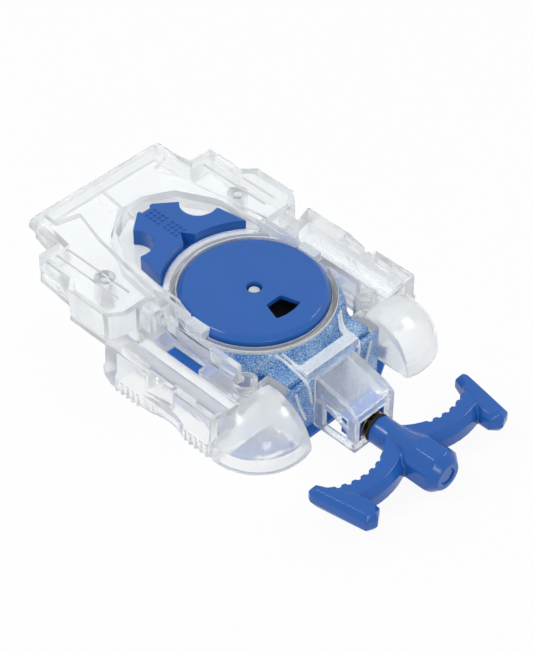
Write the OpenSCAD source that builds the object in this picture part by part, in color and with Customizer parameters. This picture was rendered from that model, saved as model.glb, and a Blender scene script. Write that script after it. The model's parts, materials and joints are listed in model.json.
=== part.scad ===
// Pull-string launcher for spinning tops, in millimetres.
// The drum axis is Z and the launcher lies on Z = 0.
// The T-handle is on the -Y side, and the casing is symmetric about X = 0.

/* [Casing] */
// Height of the raised rear deck
deck_top = 32; // [31:0.25:35]
// Wall of the clear mouldings
wall = 2; // [1.4:0.1:2.6]
// Height of the seam between upper case and rear tray
seam_z = 20; // [18:0.25:20.5]
// Rear end, from the drum axis
tail_y = 68; // [62:0.5:80]
// Shoulder where the tail widens, from the drum axis
shoulder_y = 54; // [50:0.5:58]
// Half width of the tail's rear end
tail_half = 24.7; // [20:0.1:27]
// Half width at the shoulder
shoulder_half = 35; // [31:0.5:38]
// Half width over the rear side pods
pod_half = 38.6; // [36:0.2:41]
// Distance of the front wall ahead of the drum axis
front_y = 31.5; // [31:0.25:34]

/* [Nozzle] */
// Distance of the nozzle's front face ahead of the drum axis
nozzle_y = 48; // [45:0.5:54]
// Half width of the nozzle
nozzle_half = 8.1; // [7:0.1:9]
// Height of the nozzle's front edge
nozzle_top = 17; // [15:0.25:18]
// Height of the string where it leaves the nozzle
string_z = 7.6; // [7.2:0.1:8.5]

/* [Side grips] */
// Half width over the grips
grip_half = 42.6; // [41:0.2:45]
// Half width at the inner face of the grips
grip_in_half = 30.2; // [30.2:0.1:32]
// Height of the grips
grip_top = 24; // [23:0.25:26]
// Gap between the grips and the table
grip_z = 8; // [6:0.25:9]
// Rear end of the grips at their outer face
grip_rear_y = 18.8; // [18:0.2:20]
// Front end of the grips, ahead of the drum axis
grip_front_y = 25; // [23:0.25:26]
// Radius of the finger scallop
scallop_r = 16; // [12:1:24]
// Depth of the finger scallop
scallop_depth = 2.4; // [1:0.1:2.6]
// Ribs in each ribbed stretch of a grip
rib_count = 5; // [3:1:7]

/* [Fenders] */
// Radius of the domed front fenders
fender_r = 16.8; // [15:0.2:17.6]
// Half width at the inner face of the fenders
fender_in_half = 19.6; // [19:0.1:21]
// Half width over the fenders
fender_half = 42.6; // [40:0.2:44]

/* [Round cover] */
// Height of the flat cover top
cover_top = 30; // [29:0.25:31]
// Radius of the cover
cover_r = 22; // [21.8:0.1:22.6]
// Thickness of the cover at its rim
cover_t = 3.6; // [3:0.1:4]
// Radius of the hole in the middle of the cover
cover_hole_r = 2.3; // [1.6:0.1:2.6]

/* [Selector] */
// Radius of the arc that faces the cover
selector_r = 27; // [26.8:0.1:28]
// Rear end of the selector, from the drum axis
selector_y = 46.1; // [44:0.1:47]
// Half width over the two arm tips
selector_half = 17.4; // [15:0.1:18]
// Thickness of the selector
selector_t = 5.6; // [5:0.1:6]
// Swing of the selector to each side, in degrees
selector_swing = 5; // [3:0.5:5]
// Travel of the lock bar to each side
bar_travel = 1.3; // [0.8:0.1:1.6]

/* [Drum and string] */
// Diameter of the string
string_d = 1.2; // [0.8:0.05:1.2]
// Radius of the wound string under its outer layer
core_r = 15.4; // [14:0.1:15.6]
// Radius of the drum flanges
drum_r = 19.6; // [19.2:0.1:19.8]
// Height of the string groove
groove_h = 4.2; // [4.2:0.1:4.4]
// Turns of string in the outer layer
string_turns = 1.75; // [1:0.25:1.75]
// Turns of the mainspring
spring_turns = 6; // [3:1:7]
// Thickness of the mainspring strip
spring_t = 0.35; // [0.2:0.05:0.4]

/* [Gears] */
// Pitch diameter for each tooth
tooth_module = 0.75; // [0.7:0.01:0.76]
// Teeth of the ring gear inside the drum
ring_teeth = 42; // [42:6:42]
// Teeth of each planet gear
planet_teeth = 12; // [12:6:12]

/* [Launch head] */
// Depth of the launch bay under the base plate
bay_depth = 7.4; // [6.8:0.1:7.6]
// Radius of the launch bay
bay_r = 27.4; // [26:0.1:27.6]
// Radius of the launch head
head_r = 9; // [7:0.25:11]
// Radius of the spindle
spindle_r = 2.9; // [2.4:0.1:3]

/* [Handle] */
// Half width over the end bars
handle_half = 32.6; // [30:0.2:38]
// Length of the end bars
end_bar_length = 20.6; // [18:0.2:24]
// Width of the end bars near their front ends
end_bar_w = 6.8; // [5.6:0.2:8]
// Radius of the collar
collar_r = 4.5; // [4.2:0.1:5]
// Radius of the faceted nose
nose_r = 7; // [6:0.1:7.1]
// Length of the handle hub
hub_length = 26; // [22:0.5:32]
// Notches on each arm
notch_count = 6; // [4:1:6]

/* [Hidden] */
$fn = 96;

// Clearances shared by all pieces
fit_gap = 0.05;
part_gap = 0.35;
cut = 1;
clear_span = 2 * cover_r;

// Heights of the drum stack, from the table up
base_z = bay_depth;
plate_top = base_z + wall;
drum_z = plate_top + part_gap;
flange_t = 1.3;
groove_z = drum_z + flange_t;
groove_top = groove_z + groove_h;
cup_z = groove_top + flange_t;
cup_h = 4;
cup_top = cup_z + cup_h;
gear_t = cup_h - 2 * part_gap;
gear_z = cup_z + part_gap;
carrier_z = cup_top + part_gap;
carrier_t = 1.4;
cover_z = cover_top - cover_t;

// Round cover and the clear ring that holds it
flat_half = 3.4;
flat_cut = 1;
flat_x = cover_r - flat_cut;
rim_bevel = 1.4;
rim_drop = 1.2;
cover_skin = 1.8;
cover_boss_r = 5;
window_y = [7.8, 15];
window_half = [2.9, 5.2];
window_r = 14.6;
ring_gap = 0.4;
ring_in = cover_r + ring_gap;
ring_out = ring_in + wall + fit_gap;
ring_drop = 2.4;
ring_front_top = cover_top - ring_drop;
ledge_t = 2;
ledge_w = 1.8;
tab_rise = 0.2;

// Selector, its pocket and the lock bar
selector_z = deck_top - selector_t;
lip_t = 1.8;
lip_w = 1.8;
shoulder_notch_y = 31;
shoulder_notch_half = 15.7;
bite_r = 5.75;
bite_at = [13, 36.5];
head_half = 9.2;
head_y = 41.2;
head_tip_half = 3;
vee_half = 2.4;
vee_depth = 3.6;
knurl_rise = 0.5;
knurl_pitch = 1.7;
knurl_rows = 4;
floor_t = 1.6;
floor_top = selector_z - part_gap;
pocket_gap = 4.6;
pocket_side = 2.8;
overhang_t = 1.05;
ring_rear_top = selector_z + lip_t + part_gap + overhang_t;
bar_half = 2;
bar_t = 1.3;
bar_z = carrier_z + fit_gap;
bar_engage = 0.8;
bar_end_y = 36.5;
pin_r = 1.5;
pin_y = 33;
pin_depth = 2.4;

// Blue housing and base
drum_play = 0.7;
house_in = drum_r + drum_play;
house_out = ring_in - fit_gap;
house_flange_r = 26.8;
house_flange_half = 16.9;
deck_z = 20.3;
port_half = 12;
port_top = 17;
port_sink = 1.2;
port_rear_y = 20;
arbor_r = 4.6;
barrel_r = 10.8;
barrel_wall = 1.4;
core_in = barrel_r + barrel_wall;
base_wall_r = bay_r + wall;
valley_z = 20.7;
base_wall_top = 11;
nozzle_z = 2.2;
deck_t = 2;
valley_t = 1.4;

// Gear train
addendum_share = 0.8;
dedendum_share = 1.15;
play_share = 0.36;
addendum = addendum_share * tooth_module;
dedendum = dedendum_share * tooth_module;
tooth_play = play_share * tooth_module;
ring_pitch_r = ring_teeth * tooth_module / 2;
planet_pitch_r = planet_teeth * tooth_module / 2;
sun_teeth = ring_teeth - 2 * planet_teeth;
sun_pitch_r = sun_teeth * tooth_module / 2;
orbit_r = sun_pitch_r + planet_pitch_r;
post_r = 1.5;

// Screws, in the two front towers and under the tray
screw_head_r = 2.5;
screw_head_h = 1.6;
screw_r = 1.25;
screw_length = 8;
front_screw = [24.6, 21.2];
rear_screw = [27, 34];
tower_r = 3.5;
tower_top = 24.5;
tower_seat = 16;

// String route, from the outer layer on the drum through the eyelet to the handle
guide_clear = 0.3;
guide_rib = 0.8;
guide_front_y = nozzle_y - wall / 2;
eyelet_r = 4.4;
eyelet_t = 1;
eyelet_barrel_r = 2.2;
eyelet_bore_r = 1.1;
eyelet_length = 4;
string_r = string_d / 2;
bend_y = guide_front_y - guide_rib - eyelet_length - string_r;
loop_rings = 24;
tube_sides = 6;
wind_r = (core_r + string_r + fit_gap) / cos(180 / loop_rings);
wind_gap = 0.45;
wind_pitch = string_d + wind_gap;
wind_z = groove_z + (groove_h - wind_pitch * string_turns) / 2;
lead_angle = 180 + asin(wind_r / bend_y);

function polar(r, a) = [r * cos(a), r * sin(a)];
function mirrored(half) = concat(half, [for (i = [len(half) - 1:-1:0]) [-half[i][0], half[i][1]]]);

// Extrudes a profile in Y and Z along X, between two places
module along_x(from, to) {
    translate([from, 0, 0])
        rotate([90, 0, 90])
            linear_extrude(to - from)
                children();
}

module slab(z0, z1) {
    translate([0, 0, z0])
        linear_extrude(z1 - z0)
            children();
}

module tube(r0, r1, z0, z1) {
    slab(z0, z1)
        difference() {
            circle(r1);
            circle(r0);
        }
}

module box(from, to) {
    translate(from)
        cube(to - from);
}

module both_sides() {
    children();
    mirror([1, 0, 0])
        children();
}

// Outline of the rear casing, drawn in by a given inset
tail_front_half = tail_half + wall;
pod_rear_y = 36.8;
pod_lead = pod_half - shoulder_half;
pod_front_y = 22;
flank_y = 17.5;
flank_half = grip_in_half - part_gap;
corner_y = grip_front_y - part_gap;

function case_outline(inset) = mirrored([
    [tail_half - inset, tail_y - inset],
    [tail_front_half - inset, shoulder_y - inset],
    [shoulder_half - inset, shoulder_y - inset],
    [shoulder_half - inset, pod_rear_y + pod_lead],
    [pod_half - inset, pod_rear_y],
    [pod_half - inset, pod_front_y],
    [shoulder_half - inset, flank_y + inset],
    [flank_half - inset, flank_y + inset]
]);

// Outline of the selector pocket, let out by a given margin
function pocket_outline(margin) = mirrored([
    [selector_half + pocket_side + margin, 0],
    [selector_half + pocket_side + margin, flank_y],
    [shoulder_notch_half + pocket_side + margin, shoulder_notch_y + pocket_side],
    [head_half + pocket_side + margin, head_y + pocket_gap],
    [head_tip_half + margin, selector_y + pocket_gap + margin]
]);

ridge_y = 58;
ridge_rear_half = 15;
ridge_mid_half = 18.5;
ridge_front_half = 23;
deck_step = 1.6;
deck_low = deck_top - deck_step;

function raised_outline() = mirrored([
    [tail_half - wall, tail_y - wall],
    [tail_half - wall, ridge_y + wall],
    [ridge_rear_half, ridge_y],
    [ridge_mid_half, head_y + pocket_gap],
    [ridge_front_half, flank_y]
]);

// Outline of the blue flange and of the frosted deck that lies on it
module flange_plan() {
    union() {
        circle(house_flange_r);
        translate([-house_flange_half, -front_y + wall + fit_gap])
            square([2 * house_flange_half, front_y - wall - fit_gap]);
    }
}

// Underside of the tail, which rises to the rear
tail_lift = 4;
slope_y = 40;

module tail_undercut(drop) {
    along_x(-pod_half - cut, pod_half + cut)
        polygon([
            [0, seam_z - drop],
            [slope_y, seam_z - drop],
            [tail_y, seam_z + tail_lift - drop],
            [tail_y + cut, seam_z + tail_lift - drop],
            [tail_y + cut, -cut],
            [0, -cut]
        ]);
}

groove_w = 1.4;
groove_deep = 0.8;
knob_r = 2.2;
rail_out = 1.2;
rail_h = 3;

module rear_shell() {
    difference() {
        union() {
            slab(0, deck_low)
                polygon(case_outline(0));
            slab(deck_low - wall, deck_top)
                polygon(raised_outline());
            both_sides()
                translate([tail_half, tail_y, deck_low - knob_r])
                    rotate([90, 0, 0])
                        cylinder(r = knob_r, h = tail_y - shoulder_y - wall);
            both_sides()
                for (level = [0, 1])
                    translate([0, 0, seam_z + wall + level * (rail_h + rail_out)])
                        box(
                            [shoulder_half - wall, pod_rear_y + 2 * pod_lead, 0],
                            [shoulder_half + rail_out, shoulder_y - wall, rail_h]
                        );
        }
        slab(0, deck_low - wall)
            polygon(case_outline(wall));
        tail_undercut(0);
        slab(-cut, deck_top + cut)
            polygon(pocket_outline(0));
        slab(-cut, deck_top + cut)
            circle(ring_in);
        both_sides()
            for (row = [0, 1])
                box(
                    [shoulder_half - (2 + 2 * row) * wall, flank_y + 3 * wall, deck_low - groove_deep],
                    [shoulder_half - (2 + 2 * row) * wall + groove_w, shoulder_y - 2 * wall, deck_low + cut]
                );
    }
}

// Pocket that the selector lies in, with the slot for the lock bar's pin
module pocket() {
    difference() {
        union() {
            difference() {
                slab(floor_top - floor_t, deck_top)
                    polygon(pocket_outline(wall));
                slab(floor_top, deck_top + cut)
                    polygon(pocket_outline(0));
            }
            difference() {
                tube(ring_in, ring_out + lip_w, ring_rear_top - overhang_t, ring_rear_top);
                box([-clear_span, -clear_span, 0], [clear_span, flank_y, deck_top]);
            }
        }
        slab(-cut, deck_top + cut)
            circle(ring_in);
        box([-clear_span, -clear_span, 0], [clear_span, 0, deck_top + cut]);
        box(
            [-pin_r - part_gap, pin_y - pin_r - bar_travel - part_gap, 0],
            [pin_r + part_gap, pin_y + pin_r + bar_travel + part_gap, deck_top]
        );
    }
}

// Ring round the cover, with its ledge and the two tabs in the cover's flats
module cover_ring() {
    difference() {
        union() {
            tube(ring_in, ring_out, deck_z, ring_front_top);
            intersection() {
                tube(ring_in, ring_out, deck_z, ring_rear_top);
                box([-clear_span, flank_y / 2, 0], [clear_span, clear_span, deck_top]);
            }
            tube(ring_in - ledge_w, ring_in + cut, cover_z - ledge_t, cover_z);
            both_sides()
                box(
                    [flat_x + fit_gap, -flat_half, cover_z],
                    [ring_out, flat_half, cover_top + tab_rise]
                );
        }
        box(
            [-bar_half - part_gap, 0, bar_z - part_gap],
            [bar_half + part_gap, clear_span, bar_z + bar_t + part_gap]
        );
    }
}

// Valley beside the cover, with a window in its floor, and the screw tower at its front end
recess_y = 10.8;
floor_window_half = 26.8;
floor_window_front_y = 7.6;
floor_window_rear_y = 5.2;
floor_rim = 0.6;

module valley() {
    tower = [front_screw[0], -front_screw[1], 0];
    floor_top_z = valley_z + valley_t;
    difference() {
        union() {
            box([ring_in, -corner_y, valley_z], [flank_half, flank_y + wall, floor_top_z]);
            box(
                [floor_window_half - floor_rim, -floor_window_front_y - floor_rim, valley_z],
                [flank_half, floor_window_rear_y + floor_rim, floor_top_z + floor_rim]
            );
            box([ring_out - wall / 2, -corner_y, valley_z], [ring_out + wall / 2, flank_y, ring_front_top]);
            difference() {
                box([ring_in, recess_y, valley_z], [flank_half, flank_y + wall, deck_low]);
                box([ring_out, recess_y + wall, floor_top_z], [flank_half - wall, flank_y + wall, deck_low - wall]);
            }
            translate([tower[0], tower[1], plate_top + wall])
                cylinder(r = tower_r, h = tower_top - plate_top - wall);
        }
        box(
            [floor_window_half, -floor_window_front_y, 0],
            [flank_half + cut, floor_window_rear_y, deck_top]
        );
        translate([tower[0], tower[1], tower_seat])
            cylinder(r = screw_head_r + part_gap, h = tower_top);
        translate([tower[0], tower[1], 0])
            cylinder(r = screw_r + part_gap, h = tower_top);
        slab(-cut, deck_top)
            circle(ring_in);
    }
}

// Front wall between the fenders, open where the string passes, and its cheeks
cheek_half = fender_in_half - part_gap;
cheek_top = deck_z + deck_t;

module front_wall() {
    difference() {
        union() {
            box([-cheek_half, -front_y, nozzle_z], [cheek_half, -front_y + wall, deck_z]);
            both_sides()
                box(
                    [house_flange_half + fit_gap, -front_y, nozzle_z],
                    [cheek_half, -corner_y + wall, cheek_top]
                );
            both_sides()
                box(
                    [house_flange_half + fit_gap, -corner_y, cheek_top - wall],
                    [flank_half, -corner_y + wall, valley_z + valley_t]
                );
        }
        box([-nozzle_half + wall, -front_y - cut, -cut], [nozzle_half - wall, 0, deck_z - wall]);
        slab(-cut, deck_top)
            circle(house_flange_r + fit_gap);
    }
}

module upper_case() {
    color([0.86, 0.9, 0.92, 0.45])
        difference() {
            union() {
                rear_shell();
                pocket();
                cover_ring();
                both_sides()
                    valley();
                front_wall();
                both_sides()
                    translate([rear_screw[0], rear_screw[1], seam_z])
                        cylinder(r = tower_r - part_gap, h = deck_low - seam_z - wall / 2);
            }
            slab(-cut, base_wall_top + fit_gap)
                circle(base_wall_r + fit_gap);
            slab(base_wall_top, deck_z)
                circle(house_flange_r + fit_gap);
            both_sides()
                translate([rear_screw[0], rear_screw[1], seam_z - cut])
                    cylinder(r = screw_r, h = screw_length - wall + 2 * cut);
        }
}

// Clear tray that closes the rear casing from below and guides the lock bar
module rear_tray() {
    guide_half = bar_half + part_gap + wall;
    color([0.84, 0.89, 0.92, 0.45])
        difference() {
            union() {
                intersection() {
                    slab(0, deck_low)
                        polygon(case_outline(0));
                    difference() {
                        tail_undercut(0);
                        tail_undercut(wall);
                    }
                }
                box(
                    [-guide_half, base_wall_r - wall / 2, seam_z - wall / 2],
                    [guide_half, bar_end_y, bar_z + bar_t]
                );
            }
            box(
                [-bar_half - fit_gap, 0, bar_z - fit_gap],
                [bar_half + fit_gap, tail_y, deck_top]
            );
            slab(-cut, base_wall_top + fit_gap)
                circle(base_wall_r + fit_gap);
            slab(-cut, deck_top)
                circle(house_flange_r + part_gap);
            both_sides()
                translate([rear_screw[0], rear_screw[1], 0])
                    cylinder(r = screw_r + part_gap, h = deck_top);
        }
}

// Blue base with the launch bay beneath it, the spring arbor and the sole under the front
sole_t = 1.7;
sole_half = 31.5;
sole_rear_y = 8;
sole_side_y = 22;
sole_corner_y = 25.5;
sole_front_half = 17;
sole_front_y = 33.5;

function sole_outline() = mirrored([
    [base_wall_r - wall / 2, -sole_rear_y],
    [sole_half, -sole_side_y],
    [sole_half, -sole_corner_y],
    [sole_front_half, -sole_front_y]
]);

module base_plate() {
    lug = [front_screw[0], -front_screw[1]];
    color([0.24, 0.41, 0.7])
        difference() {
            union() {
                tube(bay_r, base_wall_r, 0, base_wall_top);
                slab(base_z, plate_top)
                    circle(bay_r + cut);
                slab(plate_top - cut, cup_z)
                    circle(arbor_r);
                both_sides()
                    slab(plate_top - 2 * wall, plate_top + wall)
                        hull() {
                            translate(lug)
                                circle(tower_r, $fn = 32);
                            rotate(atan2(lug[1], lug[0]))
                                translate([bay_r + wall / 2, 0])
                                    square([wall / 2, 2 * tower_r], center = true);
                        }
                slab(0, sole_t)
                    difference() {
                        polygon(sole_outline());
                        circle(bay_r);
                    }
            }
            slab(0, cup_z + cut)
                circle(spindle_r + fit_gap);
            box([-port_half, -front_y, plate_top], [port_half, -bay_r / 2, base_wall_top + cut]);
            box([-port_half, -front_y, plate_top - port_sink], [port_half, -port_rear_y, plate_top + cut]);
            both_sides()
                translate([lug[0], lug[1], tower_seat - screw_length])
                    cylinder(r = screw_r, h = screw_length);
        }
}

// Blue housing round the drum, with the flange under the frosted deck and an ear under each valley
ear_half = flank_half - part_gap;
ear_front_y = 10;
ear_rear_y = 8;

module inner_housing() {
    color([0.26, 0.44, 0.74])
        difference() {
            union() {
                tube(house_in, house_out, plate_top, cover_z - ledge_t);
                slab(deck_z - wall, deck_z)
                    difference() {
                        union() {
                            flange_plan();
                            translate([-ear_half, -ear_front_y])
                                square([2 * ear_half, ear_front_y + ear_rear_y]);
                        }
                        circle(house_out - fit_gap);
                    }
            }
            box([-port_half, -clear_span, 0], [port_half, -house_in / 2, port_top]);
            box(
                [-bar_half - part_gap, 0, bar_z - part_gap],
                [bar_half + part_gap, clear_span, bar_z + bar_t + part_gap]
            );
            both_sides()
                box(
                    [ring_out - wall, -clear_span, 0],
                    [clear_span, clear_span, deck_z - wall / 2]
                );
        }
}

// Frosted deck round the cover ring
skirt_top = ring_front_top - rim_drop;
skirt_w = 0.7;

module front_deck() {
    color([0.62, 0.74, 0.86, 0.6])
        difference() {
            union() {
                slab(deck_z, deck_z + deck_t)
                    flange_plan();
                rotate_extrude()
                    polygon([
                        [ring_in, deck_z],
                        [house_flange_r, deck_z],
                        [house_flange_r, deck_z + deck_t],
                        [ring_out + skirt_w, skirt_top],
                        [ring_in, skirt_top]
                    ]);
            }
            slab(0, deck_top)
                circle(ring_out + fit_gap);
            box([-clear_span, flank_y / 2, 0], [clear_span, clear_span, deck_top]);
            both_sides()
                box([ring_in - fit_gap, -corner_y, 0], [clear_span, clear_span, deck_top]);
        }
}

// Clear nozzle, with its bridge on the deck
nozzle_rear_top = 21.4;
nozzle_lip = 3.5;
bridge_half = 10.6;
bridge_y = 27.4;
bridge_h = 1.6;
bridge_rib_w = 1.2;
bridge_rib_y = sqrt(pow(house_flange_r, 2) - pow(bridge_half - bridge_rib_w, 2)) + 2 * fit_gap;

module nozzle_profile(inset) {
    polygon([
        [-front_y - fit_gap, nozzle_z],
        [-front_y - fit_gap, nozzle_rear_top - inset],
        [-nozzle_y + nozzle_lip, nozzle_top + wall / 2 - inset],
        [-nozzle_y + inset, nozzle_top - wall / 2 - inset],
        [-nozzle_y + inset, nozzle_z]
    ]);
}

module nozzle() {
    color([0.86, 0.9, 0.92, 0.45])
        union() {
            difference() {
                along_x(-nozzle_half, nozzle_half)
                    nozzle_profile(0);
                translate([0, 0, -cut])
                    along_x(-nozzle_half + wall, nozzle_half - wall)
                        nozzle_profile(wall);
                along_x(-nozzle_half + wall, nozzle_half - wall)
                    nozzle_profile(wall);
                box(
                    [-nozzle_half + wall, -nozzle_y - cut, nozzle_z + wall],
                    [nozzle_half - wall, -nozzle_y + wall + cut, nozzle_top - 2 * wall]
                );
                translate([0, -nozzle_y - cut, string_z])
                    rotate([-90, 0, 0])
                        cylinder(r = eyelet_r + fit_gap, h = wall + 2 * cut);
                both_sides()
                    box(
                        [nozzle_half - wall - cut, -nozzle_y + nozzle_lip, nozzle_z + wall],
                        [nozzle_half + cut, -front_y - 2 * wall, nozzle_top - 2 * wall]
                    );
            }
            both_sides()
                along_x(nozzle_half - wall, nozzle_half - wall / 2)
                    polygon([
                        [-nozzle_y + nozzle_lip - cut, nozzle_z + 2 * wall],
                        [-nozzle_y + nozzle_lip - cut, nozzle_z + 3 * wall],
                        [-front_y - 2 * wall + cut, nozzle_top - 2 * wall],
                        [-front_y - 2 * wall + cut, nozzle_top - 3 * wall]
                    ]);
            box(
                [-bridge_half, -front_y + wall, deck_z + deck_t],
                [bridge_half, -bridge_y, deck_z + deck_t + bridge_h]
            );
            box(
                [-bridge_half, -front_y - fit_gap, deck_z],
                [bridge_half, -front_y + wall + fit_gap, deck_z + deck_t + bridge_h]
            );
            both_sides()
                box(
                    [bridge_half - bridge_rib_w, -bridge_y - cut, deck_z + deck_t],
                    [bridge_half, -bridge_rib_y, deck_z + deck_t + bridge_h]
                );
        }
}

// Clear side grip with ribs and a finger scallop, drawn for the +X side
grip_width = grip_half - grip_in_half;
grip_mid_share = 0.94;
grip_top_share = 0.92;
grip_lead_share = 0.1;
grip_slot_share = 0.7;
grip_skin_share = 0.24;
grip_mid_half = grip_in_half + grip_mid_share * grip_width;
grip_top_half = grip_in_half + grip_top_share * grip_width;
grip_lead = grip_lead_share * grip_width;
grip_slot_x = grip_in_half + grip_slot_share * grip_width;
grip_skin = grip_skin_share * grip_width;
grip_dip = 1.5;
grip_end_y = flank_y - part_gap;
grip_heel = 4.4;
rail_top = 15;
rail_step = 1.2;
rail_bevel = 1.5;
notch_y = 9.6;
notch_lead = 11;
notch_deep = 1.9;
scallop_y = 6.4;
rib_r = 0.55;
rib_pitch = 2.2;
slot_rows = [[-8, 2], [-24, -17]];

module grip_profile(inset) {
    polygon([
        [grip_in_half + inset, grip_z],
        [grip_half - rail_bevel - inset, grip_z],
        [grip_half - inset, grip_z + rail_bevel],
        [grip_half - inset, rail_top - inset],
        [grip_mid_half - inset, rail_top + rail_step - inset],
        [grip_top_half - inset, grip_top - inset],
        [grip_in_half + grip_lead + inset, grip_top - grip_dip - inset],
        [grip_in_half + inset, grip_top - grip_dip - grip_lead - inset]
    ]);
}

module grip_plan() {
    polygon([
        [grip_in_half, -grip_front_y],
        [grip_half + cut, -grip_front_y],
        [grip_half + cut, grip_rear_y],
        [shoulder_half, grip_end_y],
        [grip_in_half, grip_end_y]
    ]);
}

module grip_block(from, to, inset) {
    translate([0, to, 0])
        rotate([90, 0, 0])
            linear_extrude(to - from)
                grip_profile(inset);
}

module grip() {
    difference() {
        union() {
            intersection() {
                grip_block(-grip_front_y, grip_rear_y, 0);
                slab(0, deck_top)
                    grip_plan();
            }
            for (start = [grip_end_y - grip_heel, -grip_front_y + rib_pitch * (rib_count - 1 / 2)])
                for (i = [0:rib_count - 1])
                    translate([grip_half, start - i * rib_pitch, grip_z + rail_bevel])
                        cylinder(r = rib_r, h = rail_top - grip_z - 2 * rail_bevel);
        }
        translate([0, 0, -cut])
            grip_block(-grip_front_y + wall, grip_end_y - wall, grip_skin);
        grip_block(-grip_front_y + wall, grip_end_y - wall, grip_skin);
        translate([grip_half + scallop_r - scallop_depth, -scallop_y, -cut])
            cylinder(r = scallop_r, h = rail_top + cut);
        // the heel slopes up to the rear
        along_x(grip_in_half - cut, grip_half + cut)
            polygon([
                [grip_rear_y - grip_heel, grip_z - cut],
                [grip_rear_y - grip_heel, grip_z],
                [grip_rear_y, grip_z + grip_heel],
                [grip_rear_y + cut, grip_z + grip_heel],
                [grip_rear_y + cut, grip_z - cut]
            ]);
        // notch in the upper edge
        slab(rail_top + rail_step, grip_top + cut)
            polygon([
                [grip_half + cut, -notch_y + notch_lead],
                [grip_top_half, -notch_y + notch_lead],
                [grip_top_half - notch_deep, -notch_y],
                [grip_half + cut, -notch_y]
            ]);
        // long slots in the top
        for (row = slot_rows)
            box(
                [grip_slot_x, row[0], grip_top - grip_dip],
                [grip_slot_x + groove_w, row[1], grip_top + cut]
            );
    }
}

module right_grip() {
    color([0.86, 0.9, 0.92, 0.45])
        grip();
}

module left_grip() {
    color([0.86, 0.9, 0.92, 0.45])
        mirror([1, 0, 0])
            grip();
}

// Clear domed fender, drawn for the +X side
fender_z = 7;
fender_bottom = 8.5;
fender_lead = 2;
crease_z = 13;

module fender_form(inset) {
    rear = -grip_front_y - part_gap;
    intersection() {
        translate([fender_half - fender_r, rear - fender_lead + part_gap, fender_z])
            sphere(r = fender_r - inset);
        box(
            [fender_in_half + inset, rear - 2 * fender_r, fender_bottom - (inset > 0 ? cut : 0)],
            [fender_half + cut, rear - inset, deck_top]
        );
    }
}

module fender() {
    crease_r = sqrt(pow(fender_r, 2) - pow(crease_z - fender_z, 2)) - groove_deep;
    difference() {
        fender_form(0);
        fender_form(wall);
        // crease round the dome
        translate([fender_half - fender_r, -grip_front_y - fender_lead, 0])
            tube(crease_r, fender_r + cut, crease_z, crease_z + groove_w / 2);
    }
}

module right_fender() {
    color([0.86, 0.9, 0.92, 0.45])
        fender();
}

module left_fender() {
    color([0.86, 0.9, 0.92, 0.45])
        mirror([1, 0, 0])
            fender();
}

// Round cover with its two flats, middle hole and window
module round_cover() {
    color([0.24, 0.41, 0.7])
        difference() {
            union() {
                rotate_extrude()
                    polygon([
                        [0, cover_top - cover_skin],
                        [cover_r - ledge_w - wall / 2, cover_top - cover_skin],
                        [cover_r - ledge_w - wall / 2, cover_z],
                        [cover_r, cover_z],
                        [cover_r, cover_top - rim_drop],
                        [cover_r - rim_bevel, cover_top],
                        [0, cover_top]
                    ]);
                tube(spindle_r + fit_gap, cover_boss_r, cover_z - wall, cover_top - cover_skin + fit_gap);
                tube(cover_hole_r, cover_boss_r, cover_z, cover_top - fit_gap);
            }
            slab(0, deck_top)
                circle(cover_hole_r);
            slab(0, cover_z)
                circle(spindle_r + fit_gap);
            both_sides()
                box([flat_x, -flat_half - fit_gap, 0], [cover_r + cut, flat_half + fit_gap, deck_top]);
            slab(0, deck_top)
                intersection() {
                    polygon(mirrored([[window_half[0], -window_y[0]], [window_half[1], -window_y[1]]]));
                    circle(window_r);
                }
        }
}

// Blue block in the nozzle that leads the string to the eyelet
guide_rib_count = 5;
funnel_length = 16;

module string_guide() {
    guide_half = nozzle_half - wall - guide_clear;
    color([0.26, 0.44, 0.74])
        difference() {
            union() {
                box(
                    [-guide_half, -guide_front_y + guide_rib, nozzle_z + wall + fit_gap],
                    [guide_half, -nozzle_y + nozzle_lip + 2 * wall, nozzle_top - 2 * wall - guide_clear]
                );
                for (i = [0:guide_rib_count - 1])
                    translate([(i + 1 / 2) * 2 * guide_half / guide_rib_count - guide_half, 0, 0])
                        box(
                            [-guide_rib / 2, -guide_front_y, nozzle_z + wall + fit_gap],
                            [guide_rib / 2, -guide_front_y + cut, nozzle_top - 2 * wall - guide_clear]
                        );
            }
            translate([0, -guide_front_y - cut, string_z])
                rotate([-90, 0, 0])
                    cylinder(r = eyelet_r + fit_gap, h = cut + guide_rib);
            translate([0, -guide_front_y - cut, string_z])
                rotate([-90, 0, 0])
                    cylinder(r = eyelet_barrel_r, h = eyelet_length + guide_rib + cut);
            translate([0, -guide_front_y, string_z])
                rotate([-90, 0, 0])
                    cylinder(r1 = eyelet_bore_r, r2 = 2 * eyelet_barrel_r, h = funnel_length);
        }
}

// Brass eyelet, a flanged bush turned about the string
module eyelet() {
    color([0.72, 0.55, 0.25])
        translate([0, -guide_front_y + guide_rib, string_z])
            rotate([90, 0, 0])
                rotate_extrude()
                    polygon([
                        [eyelet_bore_r, -eyelet_length],
                        [eyelet_barrel_r, -eyelet_length],
                        [eyelet_barrel_r, 0],
                        [eyelet_r, 0],
                        [eyelet_r, eyelet_t],
                        [eyelet_bore_r + eyelet_t, eyelet_t],
                        [eyelet_bore_r, 0]
                    ]);
}

// Gear outline with straight-flanked teeth, first tooth on the X axis
module gear_plan(teeth, root_r, tip_r, root_half, tip_half) {
    polygon([
        for (i = [0:teeth - 1])
            for (at = [[root_r, -root_half], [tip_r, -tip_half], [tip_r, tip_half], [root_r, root_half]])
                polar(at[0], i * 360 / teeth + at[1] / at[0] * 180 / PI)
    ]);
}

tooth_half = (tooth_module * PI / 2 - tooth_play) / 2;
flank_lean = tan(20);

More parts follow.
